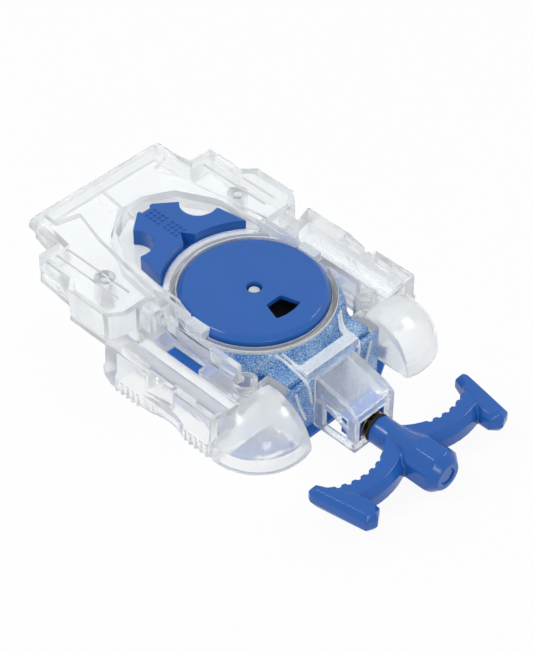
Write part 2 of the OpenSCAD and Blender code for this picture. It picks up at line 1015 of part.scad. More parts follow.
module spur_gear(teeth, pitch_r, bore_r) {
    slab(gear_z, gear_z + gear_t)
        difference() {
            gear_plan(
                teeth, pitch_r - dedendum, pitch_r + addendum,
                tooth_half + dedendum * flank_lean / 2, tooth_half - addendum * flank_lean
            );
            circle(bore_r);
        }
}

module sun_gear() {
    color([0.9, 0.9, 0.88])
        spur_gear(sun_teeth, sun_pitch_r, spindle_r);
}

planet_angles = [90, 210, 330];

module planet_gear(angle) {
    lag = (angle % (360 / sun_teeth)) * sun_teeth / planet_teeth;
    color([0.88, 0.88, 0.86])
        translate(polar(orbit_r, angle))
            rotate(angle + 180 + 180 / planet_teeth + lag)
                spur_gear(planet_teeth, planet_pitch_r, post_r + fit_gap);
}

module planet_gear_a() {
    planet_gear(planet_angles[0]);
}

module planet_gear_b() {
    planet_gear(planet_angles[1]);
}

module planet_gear_c() {
    planet_gear(planet_angles[2]);
}

// Carrier plate over the planets, with the notch that the lock bar holds
carrier_r = drum_r - 2 * ring_gap;
washer_w = 1.2;
washer_t = 0.35;
washer_inset = 0.4;

module planet_carrier() {
    color([0.3, 0.32, 0.35])
        difference() {
            union() {
                slab(carrier_z, carrier_z + carrier_t)
                    circle(carrier_r);
                for (angle = planet_angles)
                    translate(polar(orbit_r, angle))
                        slab(gear_z, carrier_z + fit_gap)
                            circle(post_r);
            }
            slab(0, deck_top)
                circle(spindle_r + fit_gap);
            box(
                [-bar_half - fit_gap, carrier_r - bar_engage - bar_travel - part_gap, carrier_z - cut],
                [bar_half + fit_gap, carrier_r + cut, carrier_z + carrier_t + cut]
            );
            tube(
                carrier_r - washer_inset - washer_w, carrier_r - washer_inset,
                carrier_z - cut, carrier_z + washer_t
            );
        }
}

// Felt washer that drags the carrier round when it is free
module drag_washer() {
    color([0.45, 0.4, 0.36])
        difference() {
            tube(
                carrier_r - washer_inset - washer_w, carrier_r - washer_inset,
                cup_top + fit_gap, carrier_z + washer_t
            );
            box(
                [-bar_half - fit_gap, 0, carrier_z - cut],
                [bar_half + fit_gap, carrier_r + cut, carrier_z + carrier_t]
            );
            box(
                [-bar_half - washer_w, 0, 0],
                [bar_half + washer_w, carrier_r + cut, carrier_z + carrier_t]
            );
        }
}

// Blue selector with its arc, side bites and knurled thumb strip
module selector_plan(front_r) {
    difference() {
        polygon(mirrored([
            [selector_half - wall / 2, 0],
            [selector_half, sqrt(pow(front_r, 2) - pow(selector_half, 2))],
            [shoulder_notch_half, shoulder_notch_y],
            [head_half + wall, shoulder_notch_y],
            [head_half, head_y],
            [head_tip_half, selector_y]
        ]));
        both_sides()
            translate(bite_at)
                circle(bite_r);
        circle(front_r);
        translate([0, selector_y])
            square([2 * head_tip_half - wall, wall], center = true);
    }
}

// Slot in the selector's underside, whose radius falls as the selector swings
cam_lead = atan(bar_travel / (pin_y * selector_swing * PI / 180));
cam_half = (pin_r + part_gap / 2) / cos(cam_lead);
cam_turns = [-2, -1.5, -1, -0.5, 0, 0.5, 1, 1.5, 2];

function cam_point(turn, side) =
    polar(pin_y - bar_travel * turn + side * cam_half, 90 - selector_swing * turn);

module selector() {
    color([0.24, 0.41, 0.7])
        difference() {
            union() {
                slab(selector_z + lip_t, deck_top)
                    difference() {
                        selector_plan(selector_r);
                        polygon(mirrored([
                            [vee_half, selector_r - cut],
                            [vee_half, selector_r],
                            [0, selector_r + vee_depth]
                        ]));
                    }
                slab(selector_z, selector_z + lip_t)
                    selector_plan(selector_r - lip_w);
                for (row = [0:2 * knurl_rows - 1])
                    for (col = [-1:1])
                        translate([
                            col * knurl_pitch,
                            selector_r + vee_depth + knurl_pitch * (row + floor(row / knurl_rows) / 2),
                            deck_top - fit_gap
                        ])
                            rotate(45)
                                linear_extrude(knurl_rise)
                                    square(knurl_pitch / 2, center = true);
            }
            slab(selector_z - cut, selector_z + pin_depth + part_gap)
                polygon(concat(
                    [for (t = cam_turns) cam_point(t, -1)],
                    [for (i = [len(cam_turns) - 1:-1:0]) cam_point(cam_turns[i], 1)]
                ));
        }
}

// Lock bar that the selector slides into the carrier's notch
module lock_bar() {
    color([0.75, 0.76, 0.78])
        union() {
            box(
                [-bar_half, carrier_r - bar_engage, bar_z],
                [bar_half, bar_end_y - bar_travel - part_gap, bar_z + bar_t]
            );
            translate([0, pin_y, bar_z + bar_t - fit_gap])
                cylinder(r = pin_r, h = selector_z + pin_depth - bar_z - bar_t);
        }
}

// String drum: flanges, spring barrel and the ring gear cup on top
module string_drum() {
    gap_half = tooth_module * PI / 2 - tooth_half;
    color([0.85, 0.86, 0.86])
        difference() {
            union() {
                slab(drum_z, groove_z)
                    circle(drum_r);
                slab(groove_z - fit_gap, groove_top + fit_gap)
                    circle(core_in);
                slab(groove_top, cup_top)
                    circle(drum_r);
            }
            slab(drum_z - cut, groove_top)
                circle(barrel_r);
            slab(0, cup_top)
                circle(arbor_r + fit_gap);
            slab(cup_z, cup_top + cut)
                rotate(planet_angles[0])
                    gear_plan(
                        ring_teeth, ring_pitch_r - addendum, ring_pitch_r + dedendum,
                        gap_half + addendum * flank_lean, gap_half - dedendum * flank_lean
                    );
        }
}

// Under layers of the string, as one plain core
module string_core() {
    color([0.9, 0.9, 0.88])
        tube(core_in, core_r, groove_z, groove_top);
}

// Tube swept along a list of points with a frame at each one
function unit(v) = v / norm(v);

function tube_ring(p, along, r, sides) =
    let (side = unit(cross(along, [0, 0, 1])), rise = cross(side, along))
    [for (k = [0:sides - 1]) p + r * (cos(360 * k / sides) * side + sin(360 * k / sides) * rise)];

module swept_tube(path, r, sides) {
    last = len(path) - 1;
    rings = [
        for (i = [0:last])
            tube_ring(path[i], unit(path[min(i + 1, last)] - path[max(i - 1, 0)]), r, sides)
    ];
    points = [for (ring = rings) each ring];
    walls = [
        for (i = [0:last - 1])
            for (k = [0:sides - 1])
                let (a = i * sides + k, b = i * sides + (k + 1) % sides)
                each [[a, b, b + sides], [a, b + sides, a + sides]]
    ];
    caps = [
        for (k = [1:sides - 2])
            each [[0, k + 1, k], [last * sides, last * sides + k, last * sides + k + 1]]
    ];
    polyhedron(points, concat(walls, caps), convexity = 10);
}

// Outer layer of the string, one helix that leaves the drum towards the nozzle
wind_rings = round(loop_rings * string_turns);
winding_path = [
    for (i = [0:wind_rings])
        let (place = polar(wind_r, lead_angle - i * 360 / loop_rings))
        [place[0], place[1], wind_z + i * wind_pitch / loop_rings]
];
winding_gap = min([
    for (i = [0:wind_rings - loop_rings])
        for (j = [i + loop_rings / 2:wind_rings])
            norm(winding_path[i] - winding_path[j])
]) - string_d;
echo(winding_gap = winding_gap);

module string_winding() {
    color([0.93, 0.93, 0.9])
        swept_tube(winding_path, string_r, tube_sides);
}

// Mainspring, a strip that spirals from the arbor out to the barrel
spring_steps = 24;
spring_in = arbor_r + spring_t + fit_gap;
spring_pitch = (barrel_r - spring_t - spring_in) / spring_turns;

function spring_edge(offset) = [
    for (i = [0:spring_steps * spring_turns])
        polar(spring_in + offset + i * spring_pitch / spring_steps, i * 360 / spring_steps)
];

module mainspring() {
    inner = spring_edge(-spring_t / 2);
    outer = spring_edge(spring_t / 2);
    color([0.55, 0.57, 0.6])
        slab(groove_z, groove_top - part_gap)
            polygon(concat(inner, [for (i = [len(outer) - 1:-1:0]) outer[i]]));
}

// Spindle from the launch head up to the cover's boss
head_z = base_z - part_gap;
head_t = 2.4;
prong_w = 2.2;
prong_arc = 44;
foot_w = 1.3;
foot_t = 1.1;
foot_arc = 22;
prong_bottom = 2 * part_gap;

module spindle() {
    color([0.9, 0.91, 0.9])
        slab(head_z - head_t, cover_z - part_gap)
            circle(spindle_r);
}

// Launch head with two hooked prongs
module sector(from, to) {
    polygon([[0, 0], polar(2 * head_r, from), polar(2 * head_r, (from + to) / 2), polar(2 * head_r, to)]);
}

module launch_head() {
    color([0.25, 0.26, 0.28])
        difference() {
            union() {
                slab(head_z - head_t, head_z)
                    circle(head_r);
                for (turn = [0, 180])
                    rotate(turn) {
                        intersection() {
                            tube(head_r - prong_w, head_r, prong_bottom, head_z - head_t / 2);
                            slab(0, base_z)
                                sector(-prong_arc / 2, prong_arc / 2);
                        }
                        intersection() {
                            tube(head_r - prong_w, head_r + foot_w, prong_bottom, prong_bottom + foot_t);
                            slab(0, base_z)
                                sector(-prong_arc / 2, foot_arc - prong_arc / 2);
                        }
                    }
            }
            slab(0, base_z)
                circle(spindle_r);
        }
}

// Handle: a turned hub with a faceted nose, two swept arms and two end bars
bumper_t = 1.2;
handle_gap = 0.3;
handle_y = nozzle_y + handle_gap + bumper_t;
collar_length = 5.5;
neck_r = 5.2;
bulb_start = 13;
nose_bevel = 3;
nose_end_r = 4.4;
nose_flat_share = 0.93;
nose_flat_r = nose_r * nose_flat_share;
nose_facets = 8;
arm_t = 6.4;
arm_rear_y = 10.6;
arm_bow_r = 20.2;
arm_bow_share = 0.52;
arm_bow_half = arm_bow_share * handle_half;
arm_w = 7;
arm_bevel = 2;
notch_r = 0.85;
notch_turn = 8.8;
notch_start = -18;
end_bar_rear_y = 3.2;
end_bar_rear_w = 3.6;
end_bar_toe = 3;
end_bar_nip = 1.2;
end_bar_belly = 5.4;
end_bar_bevel = 1.2;
end_bar_edge_half = 1.5;
end_bar_half = 3.5;
string_bore_r = string_r + part_gap;
plug_r = 2.9;
plug_recess = 6.2;
knot_r = 1.2;

module arm() {
    front_r = arm_bow_r + arm_w;
    intersection() {
        translate([arm_bow_half, -handle_y - arm_rear_y + arm_bow_r, string_z])
            difference() {
                rotate_extrude()
                    polygon([
                        [arm_bow_r, -arm_t / 2],
                        [front_r, -arm_t / 2],
                        [front_r, arm_t / 2 - arm_bevel],
                        [front_r - arm_bevel, arm_t / 2],
                        [arm_bow_r, arm_t / 2]
                    ]);
                for (i = [0:notch_count - 1])
                    rotate(notch_start + i * notch_turn - 90)
                        translate([arm_bow_r, 0, -arm_t])
                            cylinder(r = notch_r, h = 2 * arm_t);
            }
        box(
            [0, -handle_y - hub_length, string_z - arm_t],
            [handle_half - end_bar_rear_w, -handle_y - end_bar_rear_y, string_z + arm_t]
        );
    }
}

// Plan of a tapered end bar, drawn in by a given inset
function end_bar_outline(inset) =
    let (
        rear = -handle_y - end_bar_rear_y - inset,
        front = -handle_y - end_bar_rear_y - end_bar_length + inset,
        outer = handle_half - inset,
        inner = handle_half - end_bar_toe - end_bar_w + inset
    )
    [
        [handle_half - end_bar_rear_w + inset, rear],
        [outer - end_bar_nip / 2, rear],
        [outer, rear - end_bar_nip],
        [outer - end_bar_toe, front + end_bar_nip],
        [outer - end_bar_toe - end_bar_w / 2 + inset, front],
        [inner, front + 2 * end_bar_nip],
        [inner, front + end_bar_belly]
    ];

module end_bar() {
    hull() {
        slab(string_z - end_bar_edge_half, string_z + end_bar_edge_half)
            polygon(end_bar_outline(0));
        slab(string_z - end_bar_half, string_z + end_bar_half)
            polygon(end_bar_outline(end_bar_bevel));
    }
}

module handle() {
    color([0.25, 0.43, 0.72])
        difference() {
            union() {
                translate([0, -handle_y, string_z])
                    rotate([90, 0, 0])
                        difference() {
                            rotate_extrude()
                                polygon([
                                    [0, 0],
                                    [collar_r, 0],
                                    [collar_r, collar_length],
                                    [neck_r, bulb_start - nose_bevel],
                                    [nose_r, bulb_start + nose_bevel],
                                    [nose_r, hub_length - nose_bevel],
                                    [nose_end_r, hub_length],
                                    [0, hub_length]
                                ]);
                            for (i = [0:nose_facets - 1])
                                rotate(i * 360 / nose_facets)
                                    box(
                                        [nose_flat_r, -nose_r, bulb_start],
                                        [nose_r + cut, nose_r, hub_length + cut]
                                    );
                        }
                both_sides()
                    arm();
                both_sides()
                    end_bar();
            }
            translate([0, -handle_y + cut, string_z])
                rotate([90, 0, 0])
                    cylinder(r = string_bore_r, h = hub_length);
            translate([0, -handle_y - hub_length + plug_recess, string_z])
                rotate([90, 0, 0])
                    linear_extrude(plug_recess + cut)
                        circle(plug_r, $fn = 6);
        }
}

// Rubber ring on the collar that meets the eyelet
module bumper_ring() {
    color([0.06, 0.06, 0.06])
        translate([0, -handle_y, string_z])
            rotate([-90, 0, 0])
                tube(string_bore_r, collar_r, 0, bumper_t);
}

// Six-sided plug over the string's knot
plug_t = 3;

module end_plug() {
    color([0.22, 0.38, 0.66])
        translate([0, -handle_y - hub_length + plug_t + wall / 4, string_z])
            rotate([90, 0, 0])
                linear_extrude(plug_t)
                    circle(plug_r - fit_gap, $fn = 6);
}

// String from the drum through the eyelet to the knot in the handle
lead_sides = 12;

module string_lead() {
    leave = polar(wind_r, lead_angle);
    way = unit([0, -bend_y] - leave);
    edge = leave + sqrt(pow(house_out, 2) - pow(wind_r, 2)) * way;
    start = leave + part_gap * way;
    route = [
        [start[0], start[1], wind_z],
        [edge[0], edge[1], wind_z],
        [0, -bend_y, string_z],
        [0, -handle_y - hub_length + plug_recess - knot_r - fit_gap, string_z]
    ];
    color([0.93, 0.93, 0.9])
        union() {
            swept_tube(route, string_r, lead_sides);
            translate(route[len(route) - 1])
                sphere(r = knot_r);
        }
}

// One screw, head up at the seat
cross_half = 1.7;
cross_t = 0.75;

module screw() {
    difference() {
        union() {
            cylinder(r = screw_head_r, h = screw_head_h);
            translate([0, 0, -screw_length])
                cylinder(r = screw_r, h = screw_length);
        }
        for (turn = [0, 90])
            rotate(turn)
                box(
                    [-cross_half, -cross_t / 2, screw_head_h / 2],
                    [cross_half, cross_t / 2, screw_head_h + cut]
                );
    }
}

module case_screws() {
    color([0.7, 0.71, 0.73])
        both_sides() {
            translate([front_screw[0], -front_screw[1], tower_seat])
                screw();
            translate([rear_screw[0], rear_screw[1], seam_z - wall])
                rotate([180, 0, 0])
                    screw();
        }
}

upper_case();
rear_tray();
base_plate();
inner_housing();
front_deck();
nozzle();
left_grip();
right_grip();
left_fender();
right_fender();
round_cover();
string_guide();
eyelet();
planet_carrier();
drag_washer();
case_screws();
selector();
lock_bar();
string_drum();
string_core();
string_winding();
mainspring();
planet_gear_a();
planet_gear_b();
planet_gear_c();
spindle();
sun_gear();
launch_head();
handle();
bumper_ring();
end_plug();
string_lead();
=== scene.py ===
"""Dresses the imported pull-string launcher: mouldings, plastics, string, studio and camera."""
import json
import logging
import math
from dataclasses import dataclass, field
from enum import Enum
from typing import Any, Sequence

import bmesh
import bpy
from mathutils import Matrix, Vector
from mathutils.bvhtree import BVHTree
from mathutils.kdtree import KDTree

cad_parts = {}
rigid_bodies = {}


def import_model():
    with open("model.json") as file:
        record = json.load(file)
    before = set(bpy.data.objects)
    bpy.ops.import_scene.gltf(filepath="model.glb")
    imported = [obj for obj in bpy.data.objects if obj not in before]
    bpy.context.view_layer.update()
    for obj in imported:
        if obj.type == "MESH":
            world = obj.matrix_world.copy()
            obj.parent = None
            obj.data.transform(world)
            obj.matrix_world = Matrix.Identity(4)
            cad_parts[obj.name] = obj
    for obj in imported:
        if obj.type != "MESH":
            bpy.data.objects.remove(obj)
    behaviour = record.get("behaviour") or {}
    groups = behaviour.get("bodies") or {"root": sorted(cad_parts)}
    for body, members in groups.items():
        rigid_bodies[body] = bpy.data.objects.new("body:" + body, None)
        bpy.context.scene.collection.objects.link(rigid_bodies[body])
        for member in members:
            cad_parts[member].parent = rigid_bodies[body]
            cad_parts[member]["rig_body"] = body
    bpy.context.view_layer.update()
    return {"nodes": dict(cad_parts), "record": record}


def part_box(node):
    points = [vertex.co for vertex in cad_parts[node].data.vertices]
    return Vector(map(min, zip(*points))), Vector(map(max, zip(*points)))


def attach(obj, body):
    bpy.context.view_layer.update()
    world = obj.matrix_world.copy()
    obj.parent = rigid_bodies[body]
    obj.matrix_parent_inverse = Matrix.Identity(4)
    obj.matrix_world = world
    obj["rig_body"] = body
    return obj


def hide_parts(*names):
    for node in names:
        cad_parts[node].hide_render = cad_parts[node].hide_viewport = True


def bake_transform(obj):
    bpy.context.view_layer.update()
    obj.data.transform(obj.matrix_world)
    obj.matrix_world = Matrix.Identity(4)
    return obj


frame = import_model()

LOG = logging.getLogger("launcher")
MM = 0.001

Colour = tuple[float, float, float]
Point = tuple[float, float, float]
Route = tuple[Point, ...]
Span = tuple[float, float]

BLACK = (0.0, 0.0, 0.0, 1.0)
WHITE = (1.0, 1.0, 1.0, 1.0)
UP = Vector((0.0, 0.0, 1.0))
SEEN_RAYS = ("Is Camera Ray", "Is Glossy Ray", "Is Transmission Ray")

MERGE = 0.002 * MM  # vertices closer than this are one
FLAT = math.radians(0.6)  # faces that meet at less than this are one
DRIFT = 0.62  # share of an edge's radius by which its rounding may leave the CAD surface
FOLD = -0.1  # a face that agrees less than this with the CAD surface is folded over
TINY = 1e-4 * MM * MM  # faces smaller than this aren't judged
EVEN_WEIGHT = 100  # the largest faces set the normals


class Sock:
    """One shader socket that takes part in Python expressions."""

    def __init__(self, shader: "Shader", socket: bpy.types.NodeSocket) -> None:
        """Keeps the socket and the shader that owns it."""
        self.shader = shader
        self.socket = socket

    def _math(self, operation: str, first: Any, second: Any) -> "Sock":
        """Adds one Math node.

        Args:
            operation: the Math node's operation.
            first: the first value or socket.
            second: the second value or socket.

        Returns:
            The node's result.
        """
        return self.shader.node("ShaderNodeMath", {"operation": operation}, {0: first, 1: second})

    def __add__(self, other: Any) -> "Sock":
        """Sum."""
        return self._math("ADD", self, other)

    __radd__ = __add__

    def __sub__(self, other: Any) -> "Sock":
        """Difference."""
        return self._math("SUBTRACT", self, other)

    def __rsub__(self, other: Any) -> "Sock":
        """Difference from a plain number."""
        return self._math("SUBTRACT", other, self)

    def __mul__(self, other: Any) -> "Sock":
        """Product."""
        return self._math("MULTIPLY", self, other)

    __rmul__ = __mul__

    def above(self, limit: float) -> "Sock":
        """One where the value passes a limit, and zero elsewhere."""
        return self._math("GREATER_THAN", self, limit)


class Shader:
    """A material or world under construction, with one method for every kind of node."""

    def __init__(self, name: str, world: bool = False) -> None:
        """Starts an empty node tree with an output node.

        Args:
            name: the name of the material or world.
            world: whether it is a world.
        """
        self.owner = bpy.data.worlds.new(name) if world else bpy.data.materials.new(name)
        self.owner.use_nodes = True
        self.tree = self.owner.node_tree
        self.tree.nodes.clear()
        self.output = self.tree.nodes.new("ShaderNodeOutputWorld" if world else "ShaderNodeOutputMaterial")

    def node(self, kind: str, settings: dict[str, Any] | None = None,
             inputs: dict[Any, Any] | None = None, out: Any = 0) -> Sock:
        """Adds a node.

        Args:
            kind: the node's type name.
            settings: attributes set before the sockets; "stops" fills a colour ramp.
            inputs: values or sockets, by socket name or number.
            out: the output that is returned.

        Returns:
            The output socket, wrapped.
        """
        made = self.tree.nodes.new(kind)
        for key, value in (settings or {}).items():
            if key == "stops":
                for stop, (place, colour) in zip(self._stops(made, len(value)), value):
                    stop.position = place
                    stop.color = colour
            else:
                setattr(made, key, value)
        for key, value in (inputs or {}).items():
            if isinstance(value, Sock):
                self.tree.links.new(value.socket, made.inputs[key])
            else:
                made.inputs[key].default_value = value
        return Sock(self, made.outputs[out])

    @staticmethod
    def _stops(ramp: bpy.types.Node, count: int) -> Sequence[bpy.types.ColorRampElement]:
        """Gives a ramp the wanted number of stops.

        Args:
            ramp: the ramp's node.
            count: the number of stops.

        Returns:
            The stops.
        """
        elements = ramp.color_ramp.elements
        while len(elements) < count:
            elements.new(1.0)
        return list(elements)

    def place(self) -> Sock:
        """Object coordinates."""
        return self.node("ShaderNodeTexCoord", out="Object")

    def noise(self, scale: float, detail: float = 3.0, roughness: float = 0.5) -> Sock:
        """Value of a noise texture on Object coordinates."""
        return self.node("ShaderNodeTexNoise", None, {
            "Vector": self.place(), "Scale": scale, "Detail": detail, "Roughness": roughness})

    def cells(self, scale: float) -> Sock:
        """Distance to the nearest grain of a cell texture on Object coordinates."""
        return self.node("ShaderNodeTexVoronoi", {"feature": "F1"}, {
            "Vector": self.place(), "Scale": scale}, out="Distance")

    def ramp(self, value: Sock, span: Span) -> Sock:
        """Black below a span of values and white above it."""
        return self.node("ShaderNodeValToRGB", {"stops": ((span[0], BLACK), (span[1], WHITE))}, {"Fac": value})

    def mix(self, factor: Any, first: Any, second: Any) -> Sock:
        """Blend of two colours."""
        return self.node("ShaderNodeMix", {"data_type": "RGBA"}, {0: factor, 6: first, 7: second}, out=2)

    def varied(self, factor: Sock, colour: Colour, shades: Span) -> Sock:
        """Colour that goes from a darker to a lighter shade of itself."""
        return self.mix(factor, rgba(colour, shades[0]), rgba(colour, shades[1]))

    def bump(self, height: Sock, strength: float, distance: float) -> Sock:
        """Normal bent by a height value."""
        return self.node("ShaderNodeBump", None, {
            "Height": height, "Strength": strength, "Distance": distance})

    def seen(self) -> Sock:
        """Tells rays that show something from rays that light it.

        Returns:
            One for what the camera, a gloss or clear plastic shows, and zero elsewhere.
        """
        path = self.tree.nodes.new("ShaderNodeLightPath")
        camera, glossy, clear = (Sock(self, path.outputs[ray]) for ray in SEEN_RAYS)
        return (camera + glossy + clear).above(0.5)

    def finish(self, surface: Sock) -> Any:
        """Links the surface and returns the finished material or world."""
        self.tree.links.new(surface.socket, self.output.inputs["Surface"])
        return self.owner


def srgb(red: int, green: int, blue: int) -> Colour:
    """Turns an 8-bit display colour into a linear one.

    Args:
        red: the red channel.
        green: the green channel.
        blue: the blue channel.

    Returns:
        The linear colour.
    """
    def linear(value: int) -> float:
        """Linear share of one channel, by the sRGB curve."""
        share = value / 255
        return share / 12.92 if share <= 0.04045 else ((share + 0.055) / 1.055) ** 2.4
    return linear(red), linear(green), linear(blue)


def rgba(colour: Colour, factor: float = 1.0) -> tuple[float, float, float, float]:
    """Colour with full alpha, brightened or darkened by a factor."""
    return colour[0] * factor, colour[1] * factor, colour[2] * factor, 1.0


@dataclass(frozen=True)
class ClearPlastic:
    """Clear moulding that bends what is behind it, with faint flow waves and an optional grain.

    Attributes:
        name: the material's name.
        tint: the colour of what passes through.
        roughness: the least roughness.
        ripple: the strength of the waves and the grain.
        grain: the height of a frosted grain, 0 for none.
        clarity: the share of light that passes through.
        lamp_share: the share of the lamps' light that passes straight through.
        fleck: the colour of fine flecks, if there are any.
        waves: the scales of the broad and the narrow flow waves.
        grain_scale: the scale of the grain.
        fleck_scale: the scale of the flecks.
        fleck_span: the values at which a fleck starts and is full.
        shades: the darkest and lightest share of the tint.
        uneven: how much the roughness varies.
        bend: the index of refraction.
        depth: the depth of the waves.
    """

    name: str = "clear plastic"
    tint: Colour = (0.948, 0.958, 0.964)
    roughness: float = 0.06
    ripple: float = 0.15
    grain: float = 0.0
    clarity: float = 0.77
    lamp_share: float = 0.96
    fleck: Colour | None = None
    waves: Span = (90.0, 420.0)
    grain_scale: float = 1700.0
    fleck_scale: float = 1900.0
    fleck_span: Span = (0.5, 0.62)
    shades: Span = (0.98, 1.02)
    uneven: float = 0.06
    bend: float = 1.4
    depth: float = 0.4 * MM

    def material(self) -> bpy.types.Material:
        """Builds the material.

        Returns:
            A glass-like Principled surface that lets most of the lamps' light through.
        """
        shader = Shader(self.name)
        flow = shader.noise(self.waves[0], 2.0)
        height = flow + shader.noise(self.waves[1], 2.0)
        colour = shader.varied(flow, self.tint, self.shades)
        if self.grain > 0:
            height = height + shader.cells(self.grain_scale) * self.grain
        if self.fleck:
            flecks = shader.ramp(shader.noise(self.fleck_scale, 2.0), self.fleck_span)
            colour = shader.mix(flecks, colour, rgba(self.fleck))
        glass = shader.node("ShaderNodeBsdfPrincipled", None, {
            "Base Color": colour,
            "Roughness": flow * self.uneven + self.roughness,
            "IOR": self.bend,
            "Transmission Weight": self.clarity,
            "Normal": shader.bump(height, self.ripple, self.depth),
        })
        through = shader.node("ShaderNodeBsdfTransparent", None, {"Color": rgba(self.tint)})
        shadow = shader.node("ShaderNodeLightPath", out="Is Shadow Ray") * self.lamp_share
        return shader.finish(shader.node("ShaderNodeMixShader", None, {0: shadow, 1: glass, 2: through}))


@dataclass(frozen=True)
class FrostedPlastic:
    """Etched clear moulding that lies on blue: the blue shows through between bright specks.

    Attributes:
        name: the material's name.
        deep: the blue between the specks.
        speck: the specks' colour, the etched grain's own white with painted glints.
        cell: the scale of the grains.
        fine_scale: the scale of the finest specks.
        cloud_scale: the scale of the patches with more or fewer specks.
        shares: how much fine specks, patches and grains count.
        frost_and_glint_span: the values at which a speck, with its painted glint, starts and is full.
        roughness: the least roughness.
        uneven: how much the roughness varies.
        clarity: the share of light that passes through.
        coat: the weight of the smooth coat.
        coat_roughness: the coat's roughness.
        bend: the index of refraction.
        relief: the strength of the grain's relief.
        depth: the depth of the relief.
    """

    name: str = "frosted plastic"
    deep: Colour = srgb(24, 114, 197)
    speck: Colour = srgb(212, 240, 254)
    cell: float = 1500.0
    fine_scale: float = 2600.0
    cloud_scale: float = 160.0
    shares: tuple[float, float, float] = (0.75, 0.35, 0.12)
    frost_and_glint_span: Span = (0.40, 0.70)
    roughness: float = 0.12
    uneven: float = 0.3
    clarity: float = 0.12
    coat: float = 0.35
    coat_roughness: float = 0.15
    bend: float = 1.5
    relief: float = 0.6
    depth: float = 0.3 * MM

    def material(self) -> bpy.types.Material:
        """Builds the material.

        Returns:
            A Principled surface with a grain, whose bright specks are partly the etched white and partly
            painted glints.
        """
        shader = Shader(self.name)
        grains = shader.cells(self.cell)
        fine = shader.noise(self.fine_scale, 2.0, 0.6)
        cloud = shader.noise(self.cloud_scale, 3.0)
        fine_share, cloud_share, grain_share = self.shares
        # Bright specks in the colour: partly the etched grain's own white, partly painted glints.
        frost_and_glint = shader.ramp(fine * fine_share + cloud * cloud_share - grains * grain_share, self.frost_and_glint_span)
        return shader.finish(shader.node("ShaderNodeBsdfPrincipled", None, {
            "Base Color": shader.mix(frost_and_glint, rgba(self.deep), rgba(self.speck)),
            "Roughness": fine * self.uneven + self.roughness,
            "IOR": self.bend,
            "Transmission Weight": self.clarity,
            "Coat Weight": self.coat,
            "Coat Roughness": self.coat_roughness,
            "Normal": shader.bump(grains + fine, self.relief, self.depth),
        }))


@dataclass(frozen=True)
class SolidPlastic:
    """Coloured moulding with faint flow marks, fine grain and lighter rubbed patches.

    Attributes:
        name: the material's name.
        colour: its colour.
        roughness: the mean roughness.
        grain: the strength of the grain.
        coat: the weight of the smooth coat.
        cloud_scale: the scale of the flow marks and patches.
        grain_scale: the scale of the grain.
        shades: the darkest and lightest share of the colour.
        uneven: how much the roughness varies.
        bend: the index of refraction.
        coat_roughness: the coat's roughness.
        depth: the depth of the grain.
    """

    name: str
    colour: Colour
    roughness: float = 0.34
    grain: float = 0.05
    coat: float = 0.06
    cloud_scale: float = 70.0
    grain_scale: float = 3200.0
    shades: Span = (0.93, 1.07)
    uneven: float = 0.1
    bend: float = 1.38
    coat_roughness: float = 0.2
    depth: float = 0.15 * MM

    def material(self) -> bpy.types.Material:
        """Builds the material.

        Returns:
            A Principled surface.
        """
        shader = Shader(self.name)
        cloud = shader.noise(self.cloud_scale, 4.0)
        grain = shader.noise(self.grain_scale, 2.0)
        return shader.finish(shader.node("ShaderNodeBsdfPrincipled", None, {
            "Base Color": shader.varied(cloud, self.colour, self.shades),
            "Roughness": cloud * self.uneven + (self.roughness - self.uneven / 2),
            "IOR": self.bend,
            "Coat Weight": self.coat,
            "Coat Roughness": self.coat_roughness,
            "Normal": shader.bump(grain, self.grain, self.depth),
        }))


@dataclass(frozen=True)
class Metal:
    """Bright metal with fine turning marks and a little tarnish.

    Attributes:
        name: the material's name.
        colour: its colour.
        roughness: the mean roughness.
        tarnish_scale: the scale of the tarnish.
        mark_scale: the scale of the marks.
        shades: the darkest and lightest share of the colour.
        uneven: how much the roughness varies.
        relief: the strength of the marks.
        depth: the depth of the marks.
    """

    name: str
    colour: Colour
    roughness: float = 0.25
    tarnish_scale: float = 260.0
    mark_scale: float = 2600.0
    shades: Span = (0.8, 1.05)
    uneven: float = 0.2
    relief: float = 0.12
    depth: float = 0.1 * MM

    def material(self) -> bpy.types.Material:
        """Builds the material.

        Returns:
            A metallic Principled surface.
        """
        shader = Shader(self.name)
        tarnish = shader.noise(self.tarnish_scale, 5.0)
        marks = shader.noise(self.mark_scale, 2.0)
        return shader.finish(shader.node("ShaderNodeBsdfPrincipled", None, {
            "Base Color": shader.varied(tarnish, self.colour, self.shades),
            "Metallic": 1.0,
            "Roughness": tarnish * self.uneven + (self.roughness - self.uneven / 2),
            "Normal": shader.bump(marks, self.relief, self.depth),
        }))


